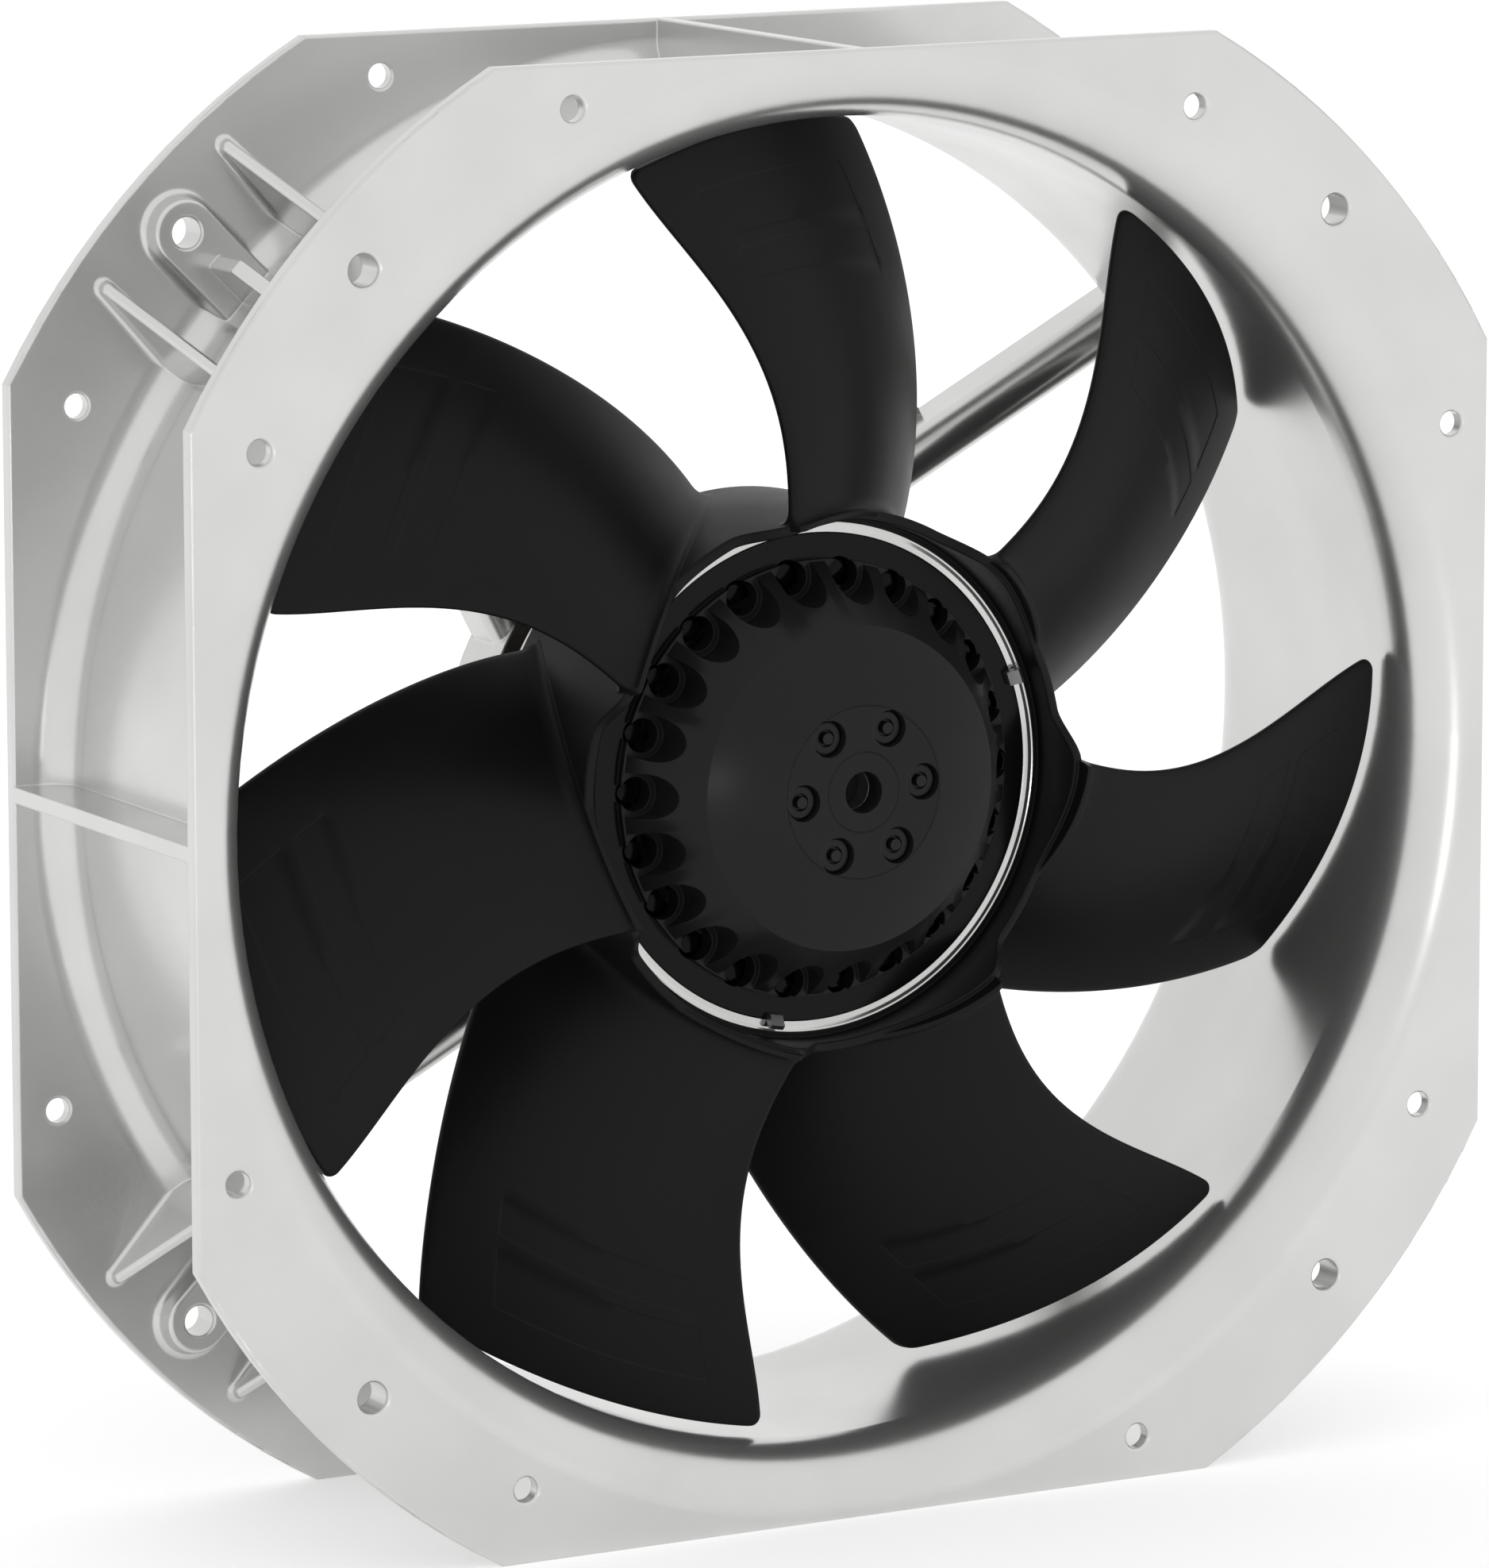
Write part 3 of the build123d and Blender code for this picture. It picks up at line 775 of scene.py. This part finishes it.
@dataclass
class RotorCage:
    """Cast cage of the rotor: two end rings, the bars, and the pins that show in the pockets."""

    count: int = 22
    start_angle: float = math.radians(163.2)
    circle: float = 39.8 * MM
    bar_radius: float = 2.0 * MM
    pin_round: float = 0.3 * MM
    pin_front: float = 20.5 * MM
    ring_inner: float = 36.8 * MM
    ring_outer: float = 43.0 * MM
    front_ring: tuple[float, float] = (24.0 * MM, 29.0 * MM)
    rear_ring: tuple[float, float] = (51.0 * MM, 56.0 * MM)
    segments: int = 96
    pin_segments: int = 24
    round_steps: int = 3

    def build(self) -> None:
        """Build the cage and put it in the place of its CAD node."""
        points: Points = []
        faces: Faces = []
        for front, back in (self.front_ring, self.rear_ring):
            outline = [(self.ring_inner, front), (self.ring_outer, front)]
            outline += [(self.ring_outer, back), (self.ring_inner, back)]
            gather(points, faces, *lathe(outline, self.segments))
        for bar in range(self.count):
            gather(points, faces, *self._bar(self.start_angle + math.tau * bar / self.count))
        piece = place_mesh(
            "rotor_cage_cast", points, faces, PIN_BLACK_PAINT_AND_SHADE, PIN_CREASE
        )
        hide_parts("rotor_cage")

    def _bar(self, angle: float) -> tuple[Points, Faces]:
        """One bar from its pin's rounded end to the rear ring.

        Args:
            angle: The bar's angle about the fan axis.

        Returns:
            The points and the faces.
        """
        middle = polar(self.circle, 0.0, angle)
        rings = [(self.bar_radius - self.pin_round, self.pin_front)]
        for step in range(1, self.round_steps + 1):
            turn = math.pi / 2 * step / self.round_steps
            radius = self.bar_radius - self.pin_round * (1 - math.sin(turn))
            rings.append((radius, self.pin_front + self.pin_round * (1 - math.cos(turn))))
        rings.append((self.bar_radius, self.rear_ring[0]))
        points = []
        for radius, depth in rings:
            for step in range(self.pin_segments):
                points.append(middle + polar(radius, depth, math.tau * step / self.pin_segments))
        faces = ring_faces(len(rings), self.pin_segments)[: -self.pin_segments]
        last = (len(rings) - 1) * self.pin_segments
        faces.append(list(range(self.pin_segments)))
        faces.append([last + step for step in range(self.pin_segments)])
        return points, faces


@dataclass
class RotorCap:
    """Dished black cap with a ring of cooling pockets, each with a round hole in its floor."""

    bore: float = 4.0 * MM
    flat: float = 16.9 * MM
    crease: float = 31.0 * MM
    crease_depth: float = 5.0 * MM
    shoulder: float = 40.7 * MM
    shoulder_depth: float = 16.4 * MM
    land_end: float = 41.6 * MM
    ledge: float = 42.0 * MM
    ledge_depth: float = 18.2 * MM
    rim_depth: float = 19.8 * MM
    rim_outer: float = 46.88 * MM
    back: float = 22.0 * MM
    inner: float = 32.4 * MM
    web: float = 5.0 * MM
    wall_rise: float = 8.5 * MM
    wall_slope: float = 3.0 * MM
    cone_wall: float = 4.5 * MM
    web_run: float = 0.6 * MM
    margin: float = 1.0 * MM
    grooves: tuple[float, ...] = (7.65 * MM, 16.5 * MM)
    groove: float = 0.25 * MM
    pocket_count: int = 22
    pocket_start: float = math.radians(163.2)
    pocket_centre: float = 38.9 * MM
    pocket_radius: float = 4.3 * MM
    pocket_floor: float = 18.3 * MM
    hole_centre: float = 39.1 * MM
    hole_radius: float = 3.3 * MM
    rivet_count: int = 6
    rivet_start: float = math.radians(4.5)
    rivet_circle: float = 13.0 * MM
    rivet_recess: float = 3.55 * MM
    rivet_recess_depth: float = 2.8 * MM
    segments: int = 264
    arc_steps: int = 16

    def build(self) -> None:
        """Build the cap and put it in the place of its CAD node."""
        points, faces = lathe(self._outline(), self.segments)
        piece = place_mesh("rotor_cap_dished", points, faces, CAP_PAINT, SMOOTH_CREASE)
        pockets = self._turns(self.pocket_start, self.pocket_count)
        rivets = self._turns(self.rivet_start, self.rivet_count)
        self._cut(piece, [self._pocket(angle) for angle in pockets])
        through = self.back + self.margin
        holes = [self._rod(self.hole_centre, self.hole_radius, through, angle) for angle in pockets]
        for angle in rivets:
            holes.append(
                self._rod(self.rivet_circle, self.rivet_recess, self.rivet_recess_depth, angle)
            )
        self._cut(piece, holes)
        piece.data.set_sharp_from_angle(angle=math.radians(SMOOTH_CREASE))
        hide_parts("rotor_cap")

    @staticmethod
    def _turns(start: float, count: int) -> list[float]:
        """Angles of a full ring of equal steps.

        Args:
            start: The first angle, in radians.
            count: Number of steps.

        Returns:
            The angles.
        """
        return [start + math.tau * step / count for step in range(count)]

    def _outline(self) -> list[tuple[float, float]]:
        """Section of the cap before its pockets are cut.

        Returns:
            Radius and depth of each corner.
        """
        outline = [(self.bore, 0.0)]
        for radius in self.grooves:
            outline += [(radius - self.groove, 0.0), (radius, self.groove)]
            outline += [(radius + self.groove, 0.0)]
        outline += [(self.flat, 0.0), (self.crease, self.crease_depth)]
        outline += [(self.shoulder, self.shoulder_depth), (self.land_end, self.ledge_depth)]
        outline += [(self.ledge, self.ledge_depth), (self.ledge, self.rim_depth)]
        outline += [(self.rim_outer, self.rim_depth), (self.rim_outer, self.back)]
        outline += [(self.inner, self.back), (self.inner, self.back - self.wall_rise)]
        outline += [(self.inner - self.wall_slope, self.crease_depth + self.cone_wall)]
        outline += [(self.flat + self.web_run, self.web), (self.bore, self.web)]
        return outline

    def _prism(
        self, outline: Sequence[tuple[float, float]], floor: float, angle: float
    ) -> bpy.types.Object:
        """A cutter with straight sides from in front of the cap to a floor.

        Args:
            outline: Corners as X and Z, before the turn.
            floor: Depth at which it ends.
            angle: Its turn about the fan axis.

        Returns:
            The cutter.
        """
        turn = Matrix.Rotation(-angle, 3, "Y")
        size = len(outline)
        points = [turn @ Vector((x, depth, z)) for depth in (-self.margin, floor) for x, z in outline]
        faces = [list(range(size)), list(range(size, 2 * size))]
        for corner in range(size):
            side = (corner + 1) % size
            faces.append([corner, side, side + size, corner + size])
        mesh = bpy.data.meshes.new("cutter")
        mesh.from_pydata([tuple(point) for point in points], [], faces)
        solid = bmesh.new()
        solid.from_mesh(mesh)
        bmesh.ops.recalc_face_normals(solid, faces=solid.faces)
        solid.to_mesh(mesh)
        solid.free()
        return bpy.data.objects.new("cutter", mesh)

    def _pocket(self, angle: float) -> bpy.types.Object:
        """Cutter of one pocket: a round inner end and straight sides out past the ledge.

        Args:
            angle: The pocket's angle about the fan axis.

        Returns:
            The cutter.
        """
        outline = []
        for step in range(self.arc_steps + 1):
            turn = math.pi / 2 + math.pi * step / self.arc_steps
            across = self.pocket_centre + self.pocket_radius * math.cos(turn)
            outline.append((across, self.pocket_radius * math.sin(turn)))
        outline += [(self.rim_outer, -self.pocket_radius), (self.rim_outer, self.pocket_radius)]
        return self._prism(outline, self.pocket_floor, angle)

    def _rod(self, centre: float, radius: float, floor: float, angle: float) -> bpy.types.Object:
        """Cutter of one round hole on a circle about the fan axis.

        Args:
            centre: The circle's radius.
            radius: The hole's radius.
            floor: Depth at which it ends.
            angle: The hole's angle about the fan axis.

        Returns:
            The cutter.
        """
        count = 2 * self.arc_steps
        turns = [math.tau * step / count for step in range(count)]
        outline = [(centre + radius * math.cos(turn), radius * math.sin(turn)) for turn in turns]
        return self._prism(outline, floor, angle)

    @staticmethod
    def _cut(piece: bpy.types.Object, cutters: Sequence[bpy.types.Object]) -> None:
        """Cut separate closed forms out of a piece and keep the result as its mesh.

        Args:
            piece: The piece to cut.
            cutters: The forms, which are deleted.
        """
        tools = bpy.data.collections.new("cutters")
        bpy.context.scene.collection.children.link(tools)
        for cutter in cutters:
            tools.objects.link(cutter)
        modifier = piece.modifiers.new("cut", "BOOLEAN")
        modifier.operation = "DIFFERENCE"
        modifier.solver = "EXACT"
        modifier.operand_type = "COLLECTION"
        modifier.collection = tools
        graph = bpy.context.evaluated_depsgraph_get()
        mesh = bpy.data.meshes.new_from_object(piece.evaluated_get(graph))
        piece.modifiers.clear()
        piece.data = mesh
        for cutter in cutters:
            bpy.data.objects.remove(cutter)
        bpy.data.collections.remove(tools)


@dataclass
class Impeller:
    """Sleeve and seven forward-swept blades, one black moulding."""

    count: int = 7
    tip: float = 124.7 * MM
    thickness: float = 2.4 * MM
    corner: float = 2.5 * MM
    root_fillet: float = 2.5 * MM
    edge_round: float = 1.3 * MM
    tip_round: float = 0.4 * MM
    sleeve_inner: float = 49.0 * MM
    sleeve_outer: float = 52.2 * MM
    sleeve_back: float = 49.5 * MM
    relief: float = 50.2 * MM
    relief_depth: float = 19.7 * MM
    lip_round: float = 0.9 * MM
    lobe_front: float = 6.2 * MM
    valley: float = 13.6 * MM
    steep_share: float = 0.2
    flat_share: float = 0.44
    lead_angle: tuple[float, ...] = (109.5, -6.5, -32.1, 32.8)
    lead_depth: tuple[float, ...] = (15.9, -8.2, -1.4)
    trail_angle: tuple[float, ...] = (80.0, -24.5, 0.0, -6.1)
    trail_depth: tuple[float, ...] = (43.3, -8.0, 12.2)
    camber: tuple[float, ...] = (4.7, 3.0)
    patches: tuple[tuple[float, float], ...] = ((98.0 * MM, 104.2 * MM), (106.8 * MM, 116.3 * MM))
    patch_lead: float = 11.2 * MM
    patch_trail_share: float = 0.79
    patch_recess: float = 0.11 * MM
    patch_wall: float = 0.12 * MM
    row_step: float = 2.2 * MM
    columns: tuple[int, int, int] = (5, 24, 8)
    edge_steps: int = 5
    root_stops: tuple[float, ...] = (0.0, 0.04, 0.12, 0.25, 0.45, 0.7, 1.0)
    tip_stops: tuple[float, ...] = (1.0, 0.75, 0.5, 0.32, 0.16, 0.08, 0.03, 0.0)
    root_overlap: float = 1.0 * MM
    probe: float = 0.2 * MM
    probe_share: float = 0.002
    relief_chamfer: float = 0.3 * MM
    pitch_steps: int = 48

    def build(self) -> None:
        """Build the moulding and put it in the place of its CAD node."""
        points, faces = self._sleeve()
        for blade in range(self.count):
            gather(points, faces, *self._blade(math.tau * blade / self.count))
        piece = place_mesh(
            "impeller_moulding", points, faces, BLADE_PLASTIC, BLADE_CREASE
        )
        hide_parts("impeller")

    @staticmethod
    def _curve(factors: Sequence[float], share: float) -> float:
        """Value of a polynomial.

        Args:
            factors: Its factors, from the constant upwards.
            share: Where it is read.

        Returns:
            The value.
        """
        return sum(factor * share**power for power, factor in enumerate(factors))

    def _middle(self, radius: float, chord: float) -> Vector:
        """A point of the blade's middle surface.

        Args:
            radius: Distance from the fan axis.
            chord: Share of the way from the leading to the trailing edge.

        Returns:
            The point.
        """
        share = (self.tip - radius) / (self.tip - self.sleeve_outer)
        lead = self._curve(self.lead_angle, share)
        trail = self._curve(self.trail_angle, share)
        front = self._curve(self.lead_depth, share)
        back = self._curve(self.trail_depth, share)
        bow = 4 * self._curve(self.camber, share) * chord * (1 - chord)
        depth = front + (back - front) * chord - bow
        return polar(radius, depth * MM, math.radians(lead + (trail - lead) * chord))

    def _rows(self) -> list[float]:
        """Radii of the blade's rows, which stand close at the root, the patches' walls and the tip.

        Returns:
            The radii from the root outwards.
        """
        stops = [self.sleeve_outer + self.root_fillet * share for share in self.root_stops]
        for inner, outer in self.patches:
            stops += [inner - self.patch_wall, inner, outer, outer + self.patch_wall]
        stops += [self.tip - self.corner * share for share in self.tip_stops]
        rows = [self.sleeve_outer - self.root_overlap]
        for stop in stops:
            gap = stop - rows[-1]
            steps = max(1, round(gap / self.row_step))
            start = rows[-1]
            rows += [start + gap * (step + 1) / steps for step in range(steps)]
        return rows

    def _chord_places(self, length: float) -> list[tuple[float, bool]]:
        """Distances of the columns behind the leading edge, and whether each lies in a patch.

        Args:
            length: The chord's length in this row.

        Returns:
            Pairs of a distance and a flag.
        """
        turns = [math.pi / 2 * step / self.edge_steps for step in range(self.edge_steps + 1)]
        edge = [self.edge_round * (1 - math.cos(turn)) for turn in turns]
        fore, middle, aft = self.columns
        patch_end = length * self.patch_trail_share
        before = self.patch_lead - self.patch_wall
        places = [(place, False) for place in edge]
        places += [(edge[-1] + (before - edge[-1]) * (step + 1) / fore, False) for step in range(fore)]
        run = patch_end - self.patch_lead
        places += [(self.patch_lead + run * step / middle, True) for step in range(middle + 1)]
        start = patch_end + self.patch_wall
        last = length - self.edge_round
        places += [(start + (last - start) * step / aft, False) for step in range(aft)]
        places += [(length - place, False) for place in reversed(edge)]
        return places

    def _blade(self, turn: float) -> tuple[Points, Faces]:
        """One blade as a tube of closed rows, capped at its root and its tip.

        Args:
            turn: The blade's angle about the fan axis, in radians.

        Returns:
            The points and the faces.
        """
        points: Points = []
        rows = self._rows()
        for radius in rows:
            points.extend(self._row(radius, turn))
        size = len(points) // len(rows)
        faces = ring_faces(len(rows), size)[:-size]
        half = size // 2
        for first in (0, (len(rows) - 1) * size):
            for column in range(half):
                loop = [column, column + 1, (size - column - 1) % size, (size - column) % size]
                faces.append([first + corner for corner in dict.fromkeys(loop)])
        return points, faces

    def _row(self, radius: float, turn: float) -> Points:
        """One closed row of a blade: its front from edge to edge, then its back.

        Args:
            radius: Distance from the fan axis.
            turn: The blade's angle about the fan axis.

        Returns:
            The row's points.
        """
        near_tip = round_step(self.tip - radius, self.corner)
        length = (self._middle(radius, 0.0) - self._middle(radius, 1.0)).length
        flare = round_step(max(radius - self.sleeve_outer, 0.0), self.root_fillet)
        thin = round_step(self.tip - radius, self.tip_round)
        in_patch = any(inner <= radius <= outer for inner, outer in self.patches)
        front: Points = []
        back: Points = []
        for place, patch in self._chord_places(length):
            distance = near_tip + place * (length - 2 * near_tip) / length
            half = self._half_thickness(min(place, length - place)) + flare - thin
            recess = self.patch_recess if patch and in_patch else 0.0
            chord = distance / length
            front.append(self._offset(radius, chord, half - recess))
            back.append(self._offset(radius, chord, -half))
        row = front + back[-2:0:-1]
        return [Matrix.Rotation(-turn, 3, "Y") @ point for point in row]

    def _half_thickness(self, from_edge: float) -> float:
        """Half the blade's thickness at a distance from its nearer long edge.

        Args:
            from_edge: The distance.

        Returns:
            Half the thickness.
        """
        rest = max(1 - from_edge / self.edge_round, 0.0)
        return self.thickness / 2 * math.sqrt(max(1 - rest * rest, 0.0))

    def _offset(self, radius: float, chord: float, amount: float) -> Vector:
        """A point off the middle surface, kept at its row's radius.

        Args:
            radius: Distance from the fan axis.
            chord: Share of the chord.
            amount: Distance towards the front.

        Returns:
            The point.
        """
        outward = self._middle(radius + self.probe, chord) - self._middle(radius - self.probe, chord)
        ahead = self._middle(radius, chord + self.probe_share)
        along = ahead - self._middle(radius, chord - self.probe_share)
        normal = outward.cross(along).normalized()
        if normal.y > 0:
            normal = -normal
        point = self._middle(radius, chord) + normal * amount
        size = math.hypot(point.x, point.z)
        return Vector((point.x * radius / size, point.y, point.z * radius / size))

    def _lip(self, angle: float) -> float:
        """Depth of the sleeve's front edge, which rises to a lobe at each leading edge.

        Args:
            angle: Angle about the fan axis, in radians.

        Returns:
            The depth.
        """
        start = math.radians(self._curve(self.lead_angle, 1.0))
        share = ((angle - start) / math.tau * self.count) % 1.0
        if share < self.steep_share:
            part = share / self.steep_share
        elif share < self.flat_share:
            part = 1.0
        else:
            part = (1.0 - share) / (1.0 - self.flat_share)
        smooth = part * part * (3 - 2 * part)
        return self.lobe_front + (self.valley - self.lobe_front) * smooth

    def _sleeve(self) -> tuple[Points, Faces]:
        """The sleeve with its waved front edge.

        Returns:
            The points and the faces.
        """
        steps = self.count * self.pitch_steps
        points: Points = []
        for step in range(steps):
            angle = math.tau * step / steps
            lip = self._lip(angle)
            section = [(self.sleeve_inner, self.sleeve_back), (self.sleeve_inner, self.relief_depth)]
            section += [(self.relief, self.relief_depth), (self.relief, lip + self.relief_chamfer)]
            section.append((self.relief + self.relief_chamfer, lip))
            for part in range(self.edge_steps + 1):
                turn = math.pi / 2 * part / self.edge_steps
                radius = self.sleeve_outer - self.lip_round * (1 - math.sin(turn))
                section.append((radius, lip + self.lip_round * (1 - math.cos(turn))))
            section.append((self.sleeve_outer, self.sleeve_back))
            points.extend(polar(radius, depth, angle) for radius, depth in section)
        return points, ring_faces(steps, len(points) // steps)


@dataclass
class Studio:
    """Pale floor, soft light and the camera."""

    floor_level: float = -0.14
    floor_size: float = 30.0
    floor_colour: Colour = (0.85, 0.85, 0.85)
    floor_glow: float = 0.42
    world_light: float = 0.8
    camera_place: tuple[float, float, float] = (-0.857983, -1.477964, 0.291311)
    camera_aim: tuple[float, float, float] = (-0.025760, 0.0, 0.003800)
    camera_roll: float = -0.078
    focal_length: float = 211.6
    sensor_width: float = 36.0
    far_limit: float = 100.0
    lamp_place: tuple[float, float, float] = (-0.22, -1.35, -0.2)
    lamp_size: float = 0.24
    lamp_power: float = 2.2

    def build(self) -> None:
        """Build the floor, the light and the camera."""
        self._floor()
        self._world()
        self._lamp()
        self._camera()

    def _floor(self) -> None:
        """A wide pale floor, white to the camera where no shadow falls."""
        half = self.floor_size / 2
        corners = [(-half, -half), (half, -half), (half, half), (-half, half)]
        mesh = bpy.data.meshes.new("floor")
        mesh.from_pydata([(x, y, self.floor_level) for x, y in corners], [], [(0, 1, 2, 3)])
        floor = bpy.data.objects.new("floor", mesh)
        bpy.context.scene.collection.objects.link(floor)
        material = bpy.data.materials.new("pale_floor")
        material.use_nodes = True
        graph = Graph(material.node_tree)
        matt = graph.feed(graph.add("BsdfDiffuse"), Color=(*self.floor_colour, 1.0))
        glow = graph.add("Emission")
        path = graph.add("LightPath")
        seen = graph.maths("MAXIMUM", path.outputs["Is Camera Ray"], path.outputs["Is Glossy Ray"])
        graph.link(graph.maths("MULTIPLY", seen, self.floor_glow), glow.inputs["Strength"])
        both = graph.add("AddShader")
        graph.link(matt.outputs["BSDF"], both.inputs[0])
        graph.link(glow.outputs["Emission"], both.inputs[1])
        graph.link(both.outputs["Shader"], graph.add("OutputMaterial").inputs["Surface"])
        mesh.materials.append(material)

    def _world(self) -> None:
        """An even white room: full white to the camera and in reflections."""
        world = bpy.data.worlds.new("white_room")
        bpy.context.scene.world = world
        world.use_nodes = True
        graph = Graph(world.node_tree)
        path = graph.add("LightPath")
        seen = path.outputs["Is Camera Ray"]
        for kind in ("Is Transmission Ray", "Is Glossy Ray"):
            seen = graph.maths("MAXIMUM", seen, path.outputs[kind])
        strength = graph.ramp(seen, 0.0, 1.0, self.world_light, 1.0)
        room = graph.feed(graph.add("Background"), Color=(1.0, 1.0, 1.0, 1.0), Strength=strength)
        graph.link(room.outputs["Background"], graph.add("OutputWorld").inputs["Surface"])

    def _lamp(self) -> None:
        """A small soft lamp in front of the hub."""
        data = bpy.data.lights.new("soft_lamp", "AREA")
        data.shape = "DISK"
        data.size = self.lamp_size
        data.energy = self.lamp_power
        lamp = bpy.data.objects.new("soft_lamp", data)
        bpy.context.scene.collection.objects.link(lamp)
        place = Vector(self.lamp_place)
        aim = (-place).to_track_quat("-Z", "Y").to_matrix()
        lamp.matrix_world = Matrix.Translation(place) @ aim.to_4x4()

    def _camera(self) -> None:
        """The camera at the photograph's viewing angle."""
        data = bpy.data.cameras.new("camera")
        data.lens = self.focal_length
        data.sensor_width = self.sensor_width
        data.clip_end = self.far_limit
        camera = bpy.data.objects.new("camera", data)
        bpy.context.scene.collection.objects.link(camera)
        place = Vector(self.camera_place)
        aim = (Vector(self.camera_aim) - place).to_track_quat("-Z", "Y").to_matrix()
        roll = Matrix.Rotation(math.radians(self.camera_roll), 3, "Z")
        camera.matrix_world = Matrix.Translation(place) @ (aim @ roll).to_4x4()
        bpy.context.scene.camera = camera


def main() -> None:
    """Build the looks of the whole fan and its studio."""
    logging.basicConfig(level=logging.INFO)
    bpy.context.scene.view_settings.view_transform = "Standard"
    SharedGroups().build()
    for finish, names in NODE_FINISHES.items():
        for name in names:
            dress_node(name, finish)
        log.info("%s: %s", finish.name, ", ".join(names))
    RotorShell().build()
    RotorCap().build()
    RotorCage().build()
    Impeller().build()
    Studio().build()


if __name__ == "__main__":
    main()
